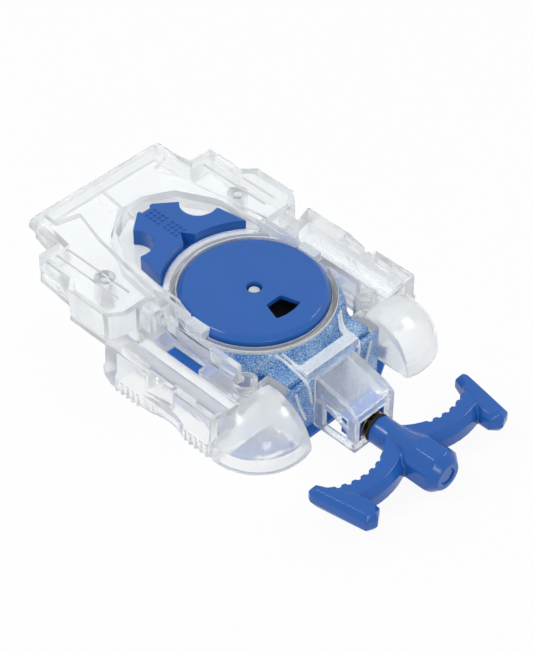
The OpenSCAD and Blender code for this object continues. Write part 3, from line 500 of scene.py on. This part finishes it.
@dataclass(frozen=True)
class Braid:
    """Woven string or felt, with a soft nap.

    Attributes:
        name: the material's name.
        colour: its colour.
        twist: the scale of the strands.
        shades: the darkest and lightest share of the colour; the darker share is painted shade in the grooves
            between strands.
        stray: how far the strands stray.
        roughness: the roughness.
        nap: the weight of the nap's sheen.
        relief: the strength of the strands' relief.
        depth: the depth of the relief.
    """

    name: str
    colour: Colour
    twist: float = 1500.0
    shades: Span = (0.72, 1.0)
    stray: float = 0.3
    roughness: float = 0.9
    nap: float = 0.2
    relief: float = 0.5
    depth: float = 0.1 * MM

    def material(self) -> bpy.types.Material:
        """Builds the material.

        Returns:
            A rough Principled surface with crossing strands.
        """
        shader = Shader(self.name)
        waves = [
            shader.node("ShaderNodeTexWave", {"bands_direction": "DIAGONAL"}, {
                "Vector": shader.node("ShaderNodeMapping", None, {
                    "Vector": shader.place(), "Scale": (side, 1.0, 1.0)}),
                "Scale": self.twist, "Distortion": self.stray}, out="Fac")
            for side in (1.0, -1.0)
        ]
        weave_and_groove_shade = waves[0] * waves[1]
        return shader.finish(shader.node("ShaderNodeBsdfPrincipled", None, {
            # Painted shade: the colour darkens where the weave is low, in the grooves between strands.
            "Base Color": shader.varied(weave_and_groove_shade, self.colour, self.shades),
            "Roughness": self.roughness,
            "Sheen Weight": self.nap,
            "Normal": shader.bump(weave_and_groove_shade, self.relief, self.depth),
        }))


class Finish(Enum):
    """The launcher's finishes."""

    CLEAR = ClearPlastic()
    FENDER = ClearPlastic("flowing plastic", ripple=0.32, clarity=0.68)
    NOZZLE = ClearPlastic(
        "speckled plastic", (0.97, 0.975, 0.98), roughness=0.05, ripple=0.2, grain=1.4, clarity=0.8,
        fleck=(0.76, 0.85, 0.94))
    RIM = ClearPlastic(
        "sparkling plastic", (0.97, 0.975, 0.98), roughness=0.12, ripple=0.3, grain=1.2, clarity=0.3,
        fleck=(0.74, 0.83, 0.92))
    FROSTED = FrostedPlastic()
    BLUE = SolidPlastic("blue plastic", srgb(33, 95, 176), 0.18)
    INNER_BLUE = SolidPlastic("inner blue plastic", srgb(37, 98, 180), 0.4)
    ACETAL = SolidPlastic("white acetal", srgb(226, 227, 224), 0.42, grain=0.03, coat=0.05)
    DARK = SolidPlastic("dark plastic", srgb(58, 61, 66), 0.45, grain=0.08, coat=0.05)
    RUBBER = SolidPlastic("black rubber", srgb(22, 22, 23), 0.7, grain=0.2, coat=0.0)
    BRASS = Metal("turned brass", srgb(182, 166, 126), 0.26)
    STEEL = Metal("bright steel", srgb(206, 209, 213), 0.42)
    STRING = Braid("braided string", srgb(236, 235, 228))
    FELT = Braid("drag felt", srgb(120, 108, 98), 900.0)


class FinishShop:
    """Makes each finish's material once."""

    def __init__(self) -> None:
        """Starts with no material made."""
        self.made: dict[Finish, bpy.types.Material] = {}

    def get(self, finish: Finish) -> bpy.types.Material:
        """Gives a finish's material, which is made on first use.

        Args:
            finish: the finish.

        Returns:
            Its material.
        """
        if finish not in self.made:
            self.made[finish] = finish.value.material()
        return self.made[finish]


def slot_of(node: str) -> str:
    """Looks up a node's material slot in the record.

    Args:
        node: the CAD node.

    Returns:
        The slot's name.
    """
    for entry in frame["record"]["subparts"]:
        if entry["node"] == node:
            return entry["material_slot"]
    raise KeyError(node)


def seat(piece: bpy.types.Object, node: str) -> None:
    """Links a piece, lets it ride on its node's body, and stands it in for that node.

    Args:
        piece: the finished piece.
        node: the CAD node.
    """
    bpy.context.scene.collection.objects.link(piece)
    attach(piece, frame["nodes"][node]["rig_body"])
    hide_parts(node)
    slot_of(node)
    report(piece)


def report(piece: bpy.types.Object) -> None:
    """Logs a finished piece."""
    LOG.info("%s: %d faces", piece.name, len(piece.data.polygons))


def round_edges(mesh: bmesh.types.BMesh, edges: list[bmesh.types.BMEdge], radius: float, segments: int) -> None:
    """Rounds edges of a mesh.

    Args:
        mesh: the mesh, which is changed.
        edges: the edges to round.
        radius: their new radius.
        segments: the steps across a rounded edge.
    """
    bmesh.ops.bevel(
        mesh, geom=edges, offset=radius, offset_type="OFFSET", segments=segments,
        profile=0.5, affect="EDGES", clamp_overlap=False, material=-1)


def made_mesh(maker: bpy.types.Object, name: str) -> bpy.types.Mesh:
    """Makes a smooth mesh of what an object's curve or modifiers give, and removes the object.

    Args:
        maker: the object, which isn't linked yet.
        name: the mesh's name.

    Returns:
        The mesh.
    """
    bpy.context.scene.collection.objects.link(maker)
    data = bpy.data.meshes.new_from_object(maker.evaluated_get(bpy.context.evaluated_depsgraph_get()))
    source = maker.data
    bpy.data.objects.remove(maker)
    (bpy.data.curves if isinstance(source, bpy.types.Curve) else bpy.data.meshes).remove(source)
    data.name = name
    data.shade_smooth()
    return data


def tube_curve(name: str, radius: float, roundness: int) -> bpy.types.Curve:
    """Starts a curve whose splines become closed round tubes.

    Args:
        name: the curve's name.
        radius: the tubes' radius.
        roundness: Blender's bevel resolution of the tubes.

    Returns:
        The curve, without splines.
    """
    curve = bpy.data.curves.new(name, "CURVE")
    curve.dimensions = "3D"
    curve.bevel_depth = radius
    curve.bevel_resolution = roundness
    curve.use_fill_caps = True
    return curve


def tube_piece(curve: bpy.types.Curve, name: str, material: bpy.types.Material) -> bpy.types.Object:
    """Makes one mesh object of a curve's tubes.

    Args:
        curve: the curve, which is removed.
        name: the object's name.
        material: its material.

    Returns:
        The object, which isn't linked yet.
    """
    data = made_mesh(bpy.data.objects.new(name, curve), name)
    data.materials.clear()
    data.materials.append(material)
    return bpy.data.objects.new(name, data)


@dataclass(frozen=True)
class Accent:
    """Part of a moulding that has a finish of its own.

    Attributes:
        finish: that finish.
        low: the least x, y and z of the part, in millimetres.
        high: the greatest x, y and z of the part, in millimetres.
        radii: the least and greatest distance from the drum's axis, in millimetres.
    """

    finish: Finish
    low: Point
    high: Point
    radii: Span = (0.0, 100.0)

    def holds(self, place: Vector) -> bool:
        """Tells whether a place lies in the part."""
        spot = place / MM
        return self.radii[0] < spot.xy.length < self.radii[1] and all(
            least < value < most for least, value, most in zip(self.low, spot, self.high))


@dataclass
class Moulding:
    """One CAD piece copied with rounded edges.

    Attributes:
        node: the CAD node that the piece stands for.
        finish: its finish.
        radius: the edge radius, in metres.
        segments: the steps across a rounded edge.
        sharp: the least angle of an edge that gets rounded, in degrees.
        tries: how often the rounding starts again without the corners that went wrong.
        accents: the parts that have a finish of their own.
    """

    node: str
    finish: Finish
    radius: float = 0.25 * MM
    segments: int = 2
    sharp: float = 32.0
    tries: int = 6
    accents: tuple[Accent, ...] = ()

    @property
    def name(self) -> str:
        """Name of the finished piece."""
        return f"{self.node}_moulding"

    def plain(self) -> bmesh.types.BMesh:
        """Copies the CAD piece and merges its triangles into flat faces.

        Returns:
            The copy.
        """
        mesh = bmesh.new()
        mesh.from_mesh(frame["nodes"][self.node].data)
        bmesh.ops.remove_doubles(mesh, verts=mesh.verts, dist=MERGE)
        bmesh.ops.dissolve_limit(
            mesh, angle_limit=FLAT, verts=mesh.verts, edges=mesh.edges, delimit={"NORMAL"})
        return mesh

    def rounded(self, spared: set[int]) -> bmesh.types.BMesh:
        """Rounds the sharp edges.

        Args:
            spared: corners, by vertex number, whose edges stay as they are.

        Returns:
            The rounded copy.
        """
        mesh = self.plain()
        limit = math.radians(self.sharp)
        edges = [
            e for e in mesh.edges
            if len(e.link_faces) == 2 and e.calc_face_angle(0.0) > limit
            and not any(v.index in spared for v in e.verts)
        ]
        if edges:
            round_edges(mesh, edges, self.radius, self.segments)
        return mesh

    def faults(self, mesh: bmesh.types.BMesh, hull: BVHTree, corners: KDTree) -> set[int]:
        """Finds where a rounding left the CAD surface or folded over.

        Args:
            mesh: the rounded copy.
            hull: the CAD surface.
            corners: the CAD piece's vertices.

        Returns:
            Numbers of the CAD vertices next to each fault.
        """
        found: set[int] = set()
        mesh.normal_update()
        for vert in mesh.verts:
            if hull.find_nearest(vert.co)[3] > DRIFT * self.radius:
                near = [v.co for face in vert.link_faces for v in face.verts if v is not vert] or [vert.co]
                found.update(corners.find(place)[1] for place in near)
        for face in mesh.faces:
            if face.calc_area() > TINY:
                middle = face.calc_center_median()
                if hull.find_nearest(middle)[1].dot(face.normal) < FOLD:
                    found.update(corners.find(v.co)[1] for v in face.verts)
        return found

    def shape(self) -> bmesh.types.BMesh:
        """Rounds the piece and leaves out the corners where that goes wrong.

        Returns:
            The finished shape.
        """
        start = self.plain()
        start.verts.index_update()
        hull = BVHTree.FromBMesh(start)
        corners = KDTree(len(start.verts))
        for vert in start.verts:
            corners.insert(vert.co, vert.index)
        corners.balance()
        start.free()
        spared: set[int] = set()
        for _ in range(self.tries):
            mesh = self.rounded(spared)
            wrong = self.faults(mesh, hull, corners) - spared
            if not wrong:
                break
            spared |= wrong
            LOG.debug("%s: %d corners left sharp", self.node, len(spared))
        return mesh

    def paint(self, data: bpy.types.Mesh, shop: FinishShop) -> None:
        """Gives the mesh its finish, and each accent's part the accent's own.

        Args:
            data: the piece's mesh.
            shop: the maker of materials.
        """
        data.materials.clear()
        data.materials.append(shop.get(self.finish))
        for number, accent in enumerate(self.accents, 1):
            data.materials.append(shop.get(accent.finish))
            for face in data.polygons:
                if accent.holds(face.center):
                    face.material_index = number

    def build(self, shop: FinishShop) -> bpy.types.Object:
        """Builds the piece.

        Args:
            shop: the maker of materials.

        Returns:
            The finished object.
        """
        mesh = self.shape()
        data = bpy.data.meshes.new(self.name)
        mesh.to_mesh(data)
        mesh.free()
        data.shade_smooth()
        data.set_sharp_from_angle(angle=math.radians(self.sharp))
        self.paint(data, shop)
        piece = bpy.data.objects.new(self.name, data)
        seat(piece, self.node)
        even = piece.modifiers.new("even faces", "WEIGHTED_NORMAL")
        even.keep_sharp = True
        even.weight = EVEN_WEIGHT
        return piece


@dataclass
class TippedMoulding(Moulding):
    """One CAD piece with a stub on top that shows in the hole above it.

    Attributes:
        tip_radius: the stub's radius, in metres.
        tip_rise: how far the stub stands above the piece, in metres.
        tip_edge: the radius of the stub's edge, as a share of the stub's.
        tip_sides: the steps round the stub.
    """

    tip_radius: float = 1.8 * MM
    tip_rise: float = 2.6 * MM
    tip_edge: float = 1 / 6
    tip_sides: int = 48

    def shape(self) -> bmesh.types.BMesh:
        """Adds the stub to the rounded piece.

        Returns:
            The finished shape.
        """
        mesh = super().shape()
        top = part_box(self.node)[1][2]
        stub = bmesh.ops.create_cone(
            mesh, cap_ends=True, segments=self.tip_sides, radius1=self.tip_radius, radius2=self.tip_radius,
            depth=self.tip_rise)["verts"]
        upper = {v for v in stub if v.co.z > 0}
        rim = [e for e in mesh.edges if all(v in upper for v in e.verts)]
        bmesh.ops.translate(mesh, verts=stub, vec=(0.0, 0.0, top + self.tip_rise / 2))
        round_edges(mesh, rim, self.tip_radius * self.tip_edge, self.segments)
        return mesh


@dataclass
class SoftMoulding(Moulding):
    """One CAD piece remade as a fine even mesh, so that every edge and corner is rounded alike.

    Attributes:
        voxel: the size of the fine mesh, in metres.
        passes: the smoothing passes.
        pull: how far one pass moves a point.
    """

    voxel: float = 0.3 * MM
    passes: int = 6
    pull: float = 0.5

    def build(self, shop: FinishShop) -> bpy.types.Object:
        """Builds the piece.

        Args:
            shop: the maker of materials.

        Returns:
            The finished object.
        """
        mesh = self.plain()
        rough = bpy.data.meshes.new(f"{self.node}_rough")
        mesh.to_mesh(rough)
        mesh.free()
        maker = bpy.data.objects.new(rough.name, rough)
        fine = maker.modifiers.new("fine mesh", "REMESH")
        fine.mode = "VOXEL"
        fine.voxel_size = self.voxel
        soft = maker.modifiers.new("soft edges", "SMOOTH")
        soft.factor = self.pull
        soft.iterations = self.passes
        data = made_mesh(maker, self.name)
        self.paint(data, shop)
        piece = bpy.data.objects.new(self.name, data)
        seat(piece, self.node)
        return piece


@dataclass
class Casing:
    """Clear outer mouldings and the screws that hold them.

    Attributes:
        edge: the edge radius of the clear mouldings.
        steps: the steps across their rounded edges.
        screw_edge: the screws' edge radius.
        clear: the plain clear mouldings.
        domed: the fenders.
        dome_voxel: the size of the fenders' fine mesh.
        dome_passes: the fenders' smoothing passes.
        nozzle_voxel: the size of the nozzle's fine mesh.
        nozzle_passes: the nozzle's smoothing passes.
        accents: the ring round the cover and the front wall.
        bridge: the nozzle's bar on the deck.
    """

    edge: float = 0.26 * MM
    steps: int = 3
    screw_edge: float = 0.12 * MM
    clear: tuple[str, ...] = ("rear_tray", "left_grip", "right_grip")
    domed: tuple[str, ...] = ("left_fender", "right_fender")
    dome_voxel: float = 0.3 * MM
    dome_passes: int = 10
    nozzle_voxel: float = 0.25 * MM
    nozzle_passes: int = 16
    accents: tuple[Accent, ...] = (
        Accent(Finish.RIM, (-30.0, -30.0, 20.0), (30.0, 30.0, 40.0), (22.2, 25.2)),
        Accent(Finish.FROSTED, (-17.3, -31.8, 6.0), (17.3, -29.3, 26.0)))
    bridge: tuple[Accent, ...] = (Accent(Finish.RIM, (-12.0, -31.4, 22.5), (12.0, -24.0, 26.0)),)

    def build(self, shop: FinishShop) -> None:
        """Builds every clear piece, the frosted deck and the screws.

        Args:
            shop: the maker of materials.
        """
        Moulding("upper_case", Finish.CLEAR, self.edge, self.steps, accents=self.accents).build(shop)
        for node in self.clear:
            Moulding(node, Finish.CLEAR, self.edge, self.steps).build(shop)
        for node in self.domed:
            SoftMoulding(node, Finish.FENDER, voxel=self.dome_voxel, passes=self.dome_passes).build(shop)
        SoftMoulding("nozzle", Finish.NOZZLE, accents=self.bridge,
                     voxel=self.nozzle_voxel, passes=self.nozzle_passes).build(shop)
        Moulding("front_deck", Finish.FROSTED, self.edge, self.steps).build(shop)
        Moulding("case_screws", Finish.STEEL, self.screw_edge).build(shop)


@dataclass
class DeckRibs:
    """Clear curved ribs from the cover's ring over the frosted deck and down the front wall.

    Attributes:
        name: the piece's name.
        radius: the ribs' radius.
        roundness: Blender's bevel resolution of the ribs.
        order: the order of the ribs' curves.
        steps: the steps between two points of a rib.
        routes: the left ribs' points, in millimetres; the right ribs mirror them.
    """

    name: str = "deck_ribs"
    radius: float = 0.5 * MM
    roundness: int = 3
    order: int = 3
    steps: int = 8
    routes: tuple[Route, ...] = (
        ((-13.2, -21.6, 26.2), (-11.6, -23.4, 24.4), (-10.9, -26.2, 22.5), (-11.4, -30.0, 22.5),
         (-10.7, -31.8, 20.2), (-9.6, -31.8, 16.0), (-9.0, -31.8, 12.0)),
        ((-11.5, -22.3, 26.2), (-10.2, -24.0, 24.4), (-9.5, -26.0, 22.7), (-9.4, -28.0, 23.0)),
        ((-15.4, -31.8, 19.4), (-14.6, -31.8, 15.8), (-13.0, -31.8, 11.0), (-11.4, -31.8, 7.0)))

    def build(self, shop: FinishShop) -> None:
        """Builds all ribs as one piece.

        Args:
            shop: the maker of materials.
        """
        curve = tube_curve(self.name, self.radius, self.roundness)
        for route in self.routes:
            for side in (1.0, -1.0):
                spline = curve.splines.new("NURBS")
                spline.points.add(len(route) - 1)
                spline.use_endpoint_u = True
                spline.order_u = self.order
                spline.resolution_u = self.steps
                for point, (x, y, z) in zip(spline.points, route):
                    point.co = (x * side * MM, y * MM, z * MM, 1.0)
        piece = tube_piece(curve, self.name, shop.get(Finish.RIM))
        bpy.context.scene.collection.objects.link(piece)
        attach(piece, frame["nodes"]["front_deck"]["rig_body"])
        slot_of("upper_case")
        report(piece)


@dataclass
class Works:
    """Everything inside: base, housing, drum, gears, spindle, head and lock bar.

    Attributes:
        blue: the blue mouldings.
        white: the white wheels.
        dark: the dark mouldings.
        metal: the metal pieces.
        blue_edge: the edge radius of the blue mouldings.
        white_edge: the edge radius of the wheels.
        dark_edge: the edge radius of the dark mouldings, the spindle and the eyelet.
        metal_edge: the edge radius of the metal pieces.
        felt_edge: the edge radius of the washer.
    """

    blue: tuple[str, ...] = ("base_plate", "inner_housing", "string_guide")
    white: tuple[str, ...] = (
        "string_drum", "planet_gear_a", "planet_gear_b", "planet_gear_c", "sun_gear")
    dark: tuple[str, ...] = ("planet_carrier", "launch_head")
    metal: tuple[str, ...] = ("lock_bar", "mainspring")
    blue_edge: float = 0.2 * MM
    white_edge: float = 0.08 * MM
    dark_edge: float = 0.15 * MM
    metal_edge: float = 0.06 * MM
    felt_edge: float = 0.05 * MM

    def build(self, shop: FinishShop) -> None:
        """Builds the inner pieces with small edges.

        Args:
            shop: the maker of materials.
        """
        for nodes, finish, edge in (
                (self.blue, Finish.INNER_BLUE, self.blue_edge), (self.white, Finish.ACETAL, self.white_edge),
                (self.dark, Finish.DARK, self.dark_edge), (self.metal, Finish.STEEL, self.metal_edge)):
            for node in nodes:
                Moulding(node, finish, edge, 1).build(shop)
        TippedMoulding("spindle", Finish.ACETAL, self.dark_edge).build(shop)
        Moulding("eyelet", Finish.BRASS, self.dark_edge).build(shop)
        Moulding("drag_washer", Finish.FELT, self.felt_edge, 1).build(shop)


@dataclass
class Controls:
    """Round cover and thumb selector.

    Attributes:
        fine: the size of the cover's fine mesh.
        passes: the cover's smoothing passes.
        edge: the selector's edge radius.
    """

    fine: float = 0.24 * MM
    passes: int = 4
    edge: float = 0.14 * MM

    def build(self, shop: FinishShop) -> None:
        """Builds the two blue pieces on top."""
        SoftMoulding("round_cover", Finish.BLUE, voxel=self.fine, passes=self.passes).build(shop)
        Moulding("selector", Finish.BLUE, self.edge).build(shop)


@dataclass
class PullHandle:
    """T-handle with its plug and rubber ring.

    Attributes:
        fine: the size of the handle's fine mesh.
        passes: the handle's smoothing passes.
        plug_edge: the plug's edge radius.
        ring_edge: the ring's edge radius.
        ring_steps: the steps across the ring's rounded edges.
    """

    fine: float = 0.25 * MM
    passes: int = 10
    plug_edge: float = 0.2 * MM
    ring_edge: float = 0.3 * MM
    ring_steps: int = 3

    def build(self, shop: FinishShop) -> None:
        """Builds the handle's pieces.

        Args:
            shop: the maker of materials.
        """
        SoftMoulding("handle", Finish.BLUE, voxel=self.fine, passes=self.passes).build(shop)
        Moulding("end_plug", Finish.BLUE, self.plug_edge).build(shop)
        Moulding("bumper_ring", Finish.RUBBER, self.ring_edge, self.ring_steps).build(shop)


def point_mm(x: float, y: float, z: float) -> Any:
    """Dataclass field whose default is a point given in millimetres."""
    return field(default_factory=lambda: Vector((x, y, z)) * MM)


@dataclass
class StringRun:
    """Twisted string: wound on the drum, led through the nozzle and knotted in the handle.

    Attributes:
        radius: the string's radius.
        strands: the strands that are twisted together.
        strand_width: a strand's radius, as a share of the string's.
        strand_reach: a strand's distance from the string's middle, as a share of the string's radius.
        twist: the length of one turn of the strands.
        wind_radius: the radius of the outer layer on the drum.
        wind_low: the height at which the outer layer starts.
        wind_pitch: the rise of one turn.
        wind_turns: the turns of the outer layer.
        lead_angle: the angle at which the string leaves the drum.
        lead_start: where the led string starts, as a share of its way from the drum to the housing.
        lead_step: the greatest distance between two points of the led string.
        layers: the radii of the layers under the outer one.
        core_low: the height of the lowest turn under the outer layer.
        core_slack: the rise of one turn there, as a share of the string's width.
        core_turns: the turns of each of those layers.
        edge: where the string leaves the housing.
        bend: where it turns into the eyelet.
        pull_from: where the pulled stretch starts; not used.
        pull_to: where it ends, at the handle; not used.
        knot: the knot's radius.
        knot_core: the mean of the knot's lumps, as a share of its radius.
        knot_lump: the height of the lumps, as a share of its radius.
        knot_wraps: the lumps round the knot.
        knot_slant: how far the lumps slant along it.
        knot_fineness: the subdivisions of the knot's ball.
    """

    radius: float = 0.6 * MM
    strands: int = 3
    strand_width: float = 0.52
    strand_reach: float = 0.46
    twist: float = 3.6 * MM
    wind_radius: float = 16.1885 * MM
    wind_low: float = 11.70625 * MM
    wind_pitch: float = 1.65 * MM
    wind_turns: float = 1.75
    lead_angle: float = math.radians(202.9)
    lead_start: float = 0.03
    lead_step: float = 0.4 * MM
    layers: tuple[float, ...] = (14.78 * MM, 13.72 * MM, 12.85 * MM)
    core_low: float = 11.68 * MM
    core_slack: float = 1.02
    core_turns: float = 2.4
    edge: Vector = point_mm(-8.916, -20.495, 11.70625)
    bend: Vector = point_mm(0.0, -41.6, 7.6)
    pull_from: Vector = point_mm(0.0, -46.2, 7.6)
    pull_to: Vector = point_mm(0.0, -51.0, 7.6)
    knot: float = 1.2 * MM
    knot_core: float = 0.93
    knot_lump: float = 0.06
    knot_wraps: float = 2.0
    knot_slant: float = 5.0
    knot_fineness: int = 3

    def coil(self, radius: float, low: float, pitch: float, turns: float, steps: int = 48) -> list[Vector]:
        """Points of a helix round the drum.

        Args:
            radius: the helix's radius.
            low: its lowest height.
            pitch: its rise in one turn.
            turns: its number of turns.
            steps: the points in one turn.

        Returns:
            The points, from where the string leaves the drum.
        """
        count = round(turns * steps)
        angles = [self.lead_angle - math.tau * i / steps for i in range(count + 1)]
        return [
            Vector((radius * math.cos(a), radius * math.sin(a), low + pitch * i / steps))
            for i, a in enumerate(angles)
        ]

    def outer(self) -> list[Vector]:
        """Points of the outer layer on the drum."""
        return self.coil(self.wind_radius, self.wind_low, self.wind_pitch, self.wind_turns)

    def end(self) -> Vector:
        """Middle of the knot, where the string ends."""
        return Vector((0.0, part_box("string_lead")[0][1] + self.knot, self.bend.z))

    def led(self) -> list[Vector]:
        """Leads the string in straight runs from the drum to the knot.

        Returns:
            Closely spaced points.
        """
        leave = self.outer()[0]
        stops = [leave + (self.edge - leave) * self.lead_start, self.edge, self.bend, self.end()]
        points: list[Vector] = []
        for first, last in zip(stops, stops[1:]):
            count = max(2, math.ceil((last - first).length / self.lead_step))
            points += [first.lerp(last, i / count) for i in range(count)]
        return points + [self.end()]

    def twisted(self, name: str, routes: Sequence[Sequence[Vector]], shop: FinishShop) -> bpy.types.Object:
        """Twists strands along routes.

        Args:
            name: the finished object's name.
            routes: one list of points for each length of string.
            shop: the maker of materials.

        Returns:
            A mesh object, not linked yet.
        """
        curve = tube_curve(name, self.radius * self.strand_width, 1)
        for route in routes:
            for strand in range(self.strands):
                spline = curve.splines.new("POLY")
                spline.points.add(len(route) - 1)
                run = 0.0
                for i, place in enumerate(route):
                    along = (route[min(i + 1, len(route) - 1)] - route[max(i - 1, 0)]).normalized()
                    run += (place - route[i - 1]).length if i else 0.0
                    turn = math.tau * (run / self.twist + strand / self.strands)
                    side = along.cross(UP).normalized()
                    rise = side.cross(along)
                    offset = (side * math.cos(turn) + rise * math.sin(turn)) * self.radius * self.strand_reach
                    spline.points[i].co = (*(place + offset), 1.0)
        return tube_piece(curve, name, shop.get(Finish.STRING))

    def add_knot(self, data: bpy.types.Mesh) -> None:
        """Adds the knot that holds the string's end in the handle.

        Args:
            data: the led string's mesh, which is changed.
        """
        mesh = bmesh.new()
        mesh.from_mesh(data)
        ball = bmesh.ops.create_icosphere(mesh, subdivisions=self.knot_fineness, radius=self.knot)["verts"]
        for vert in ball:
            around = math.atan2(vert.co.z, vert.co.x) * self.knot_wraps
            wrap = math.sin(around + vert.co.y / self.knot * self.knot_slant)
            vert.co *= self.knot_core + self.knot_lump * wrap
        bmesh.ops.translate(mesh, verts=ball, vec=self.end())
        mesh.to_mesh(data)
        mesh.free()

    def build(self, shop: FinishShop) -> None:
        """Builds the three lengths of string.

        Args:
            shop: the maker of materials.
        """
        rise = 2 * self.radius * self.core_slack
        core = [self.coil(layer, self.core_low, rise, self.core_turns) for layer in self.layers]
        seat(self.twisted("string_core_twist", core, shop), "string_core")
        seat(self.twisted("string_winding_twist", [self.outer()], shop), "string_winding")
        lead = self.twisted("string_lead_twist", [self.led()], shop)
        self.add_knot(lead.data)
        bpy.context.scene.collection.objects.link(lead)
        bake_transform(lead)
        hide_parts("string_lead")
        slot_of("string_lead")
        report(lead)


@dataclass(frozen=True)
class Lamp:
    """One soft round lamp that points at the origin.

    Attributes:
        place: where it hangs.
        width: its width, in metres.
        power: its power, in watts.
    """

    place: Point
    width: float
    power: float


@dataclass
class Studio:
    """Pale floor, soft lamps, white surroundings and the camera.

    Attributes:
        aim: the point that the optical axis passes through.
        back: the direction from that point to the camera.
        distance: how far away the camera stands.
        lens: the focal length, in millimetres.
        sensor: the sensor's width, in millimetres.
        shift: the frame's offset from the optical axis.
        near: the least distance that the camera shows.
        floor_half: half the floor's width.
        floor_colour: the floor's colour under the lamps.
        floor_white: how far the floor shows white; the rest keeps the shadow.
        sky: the colour of the light from all round.
        sky_strength: its strength.
        lamps: the lamps.
        bounces: how often light may turn at surfaces.
        clear_bounces: how often it may pass through clear plastic.
        straight_bounces: how often it may pass straight through.
    """

    aim: Point = (0.0, 0.0, 0.030)
    back: Point = (-0.5242, -0.5226, 0.6724)
    distance: float = 0.62014
    lens: float = 119.5
    sensor: float = 36.0
    shift: Span = (0.0189, -0.0596)
    near: float = 0.01
    floor_half: float = 3.0
    floor_colour: Colour = (0.9, 0.9, 0.9)
    floor_white: float = 0.93
    sky: Colour = (0.9, 0.95, 1.0)
    sky_strength: float = 0.55
    lamps: tuple[Lamp, ...] = (
        Lamp((-0.5, 0.35, 0.9), 0.32, 3.5), Lamp((0.75, -0.35, 0.7), 0.3, 1.8),
        Lamp((-0.4, -0.9, 0.5), 0.3, 1.5))
    bounces: int = 28
    clear_bounces: int = 24
    straight_bounces: int = 32

    def camera(self) -> None:
        """Stands the camera where the photograph was taken."""
        data = bpy.data.cameras.new("camera")
        data.lens = self.lens
        data.sensor_width = self.sensor
        data.shift_x, data.shift_y = self.shift
        data.clip_start = self.near
        eye = bpy.data.objects.new("camera", data)
        back = Vector(self.back).normalized()
        eye.location = Vector(self.aim) + back * self.distance
        eye.rotation_euler = back.to_track_quat("Z", "Y").to_euler()
        bpy.context.scene.collection.objects.link(eye)
        bpy.context.scene.camera = eye

    def floor(self) -> None:
        """Lays a pale floor that shows white with a faint shadow."""
        mesh = bmesh.new()
        bmesh.ops.create_grid(mesh, x_segments=1, y_segments=1, size=self.floor_half)
        data = bpy.data.meshes.new("floor")
        mesh.to_mesh(data)
        mesh.free()
        shader = Shader("pale floor")
        matt = shader.node("ShaderNodeBsdfDiffuse", None, {"Color": rgba(self.floor_colour)})
        white = shader.node("ShaderNodeEmission", None, {"Color": WHITE, "Strength": 1.0})
        data.materials.append(shader.finish(shader.node("ShaderNodeMixShader", None, {
            0: shader.seen() * self.floor_white, 1: matt, 2: white})))
        floor = bpy.data.objects.new("floor", data)
        bpy.context.scene.collection.objects.link(floor)

    def light(self) -> None:
        """Hangs the soft lamps."""
        for number, lamp in enumerate(self.lamps):
            data = bpy.data.lights.new(f"lamp_{number}", "AREA")
            data.shape = "DISK"
            data.size = lamp.width
            data.energy = lamp.power
            hung = bpy.data.objects.new(data.name, data)
            hung.location = lamp.place
            hung.rotation_euler = Vector(lamp.place).to_track_quat("Z", "Y").to_euler()
            bpy.context.scene.collection.objects.link(hung)

    def world(self) -> None:
        """Surrounds the object with a soft pale light that shows white."""
        shader = Shader("surroundings", world=True)
        pale = shader.node("ShaderNodeBackground", None, {
            "Color": rgba(self.sky), "Strength": self.sky_strength})
        white = shader.node("ShaderNodeBackground", None, {"Color": WHITE, "Strength": 1.0})
        bpy.context.scene.world = shader.finish(shader.node("ShaderNodeMixShader", None, {
            0: shader.seen(), 1: pale, 2: white}))

    def build(self) -> None:
        """Builds the whole studio."""
        self.camera()
        self.floor()
        self.light()
        self.world()
        scene = bpy.context.scene
        scene.view_settings.view_transform = "Standard"
        scene.cycles.transparent_max_bounces = self.straight_bounces
        scene.cycles.max_bounces = self.bounces
        scene.cycles.transmission_bounces = self.clear_bounces


def main() -> None:
    """Builds the studio and every sub-assembly in order."""
    logging.basicConfig(level=logging.INFO, format="%(message)s")
    shop = FinishShop()
    Studio().build()
    for assembly in (Casing(), DeckRibs(), Works(), Controls(), PullHandle(), StringRun()):
        assembly.build(shop)
        LOG.info("%s built", type(assembly).__name__)


if __name__ == "__main__":
    main()
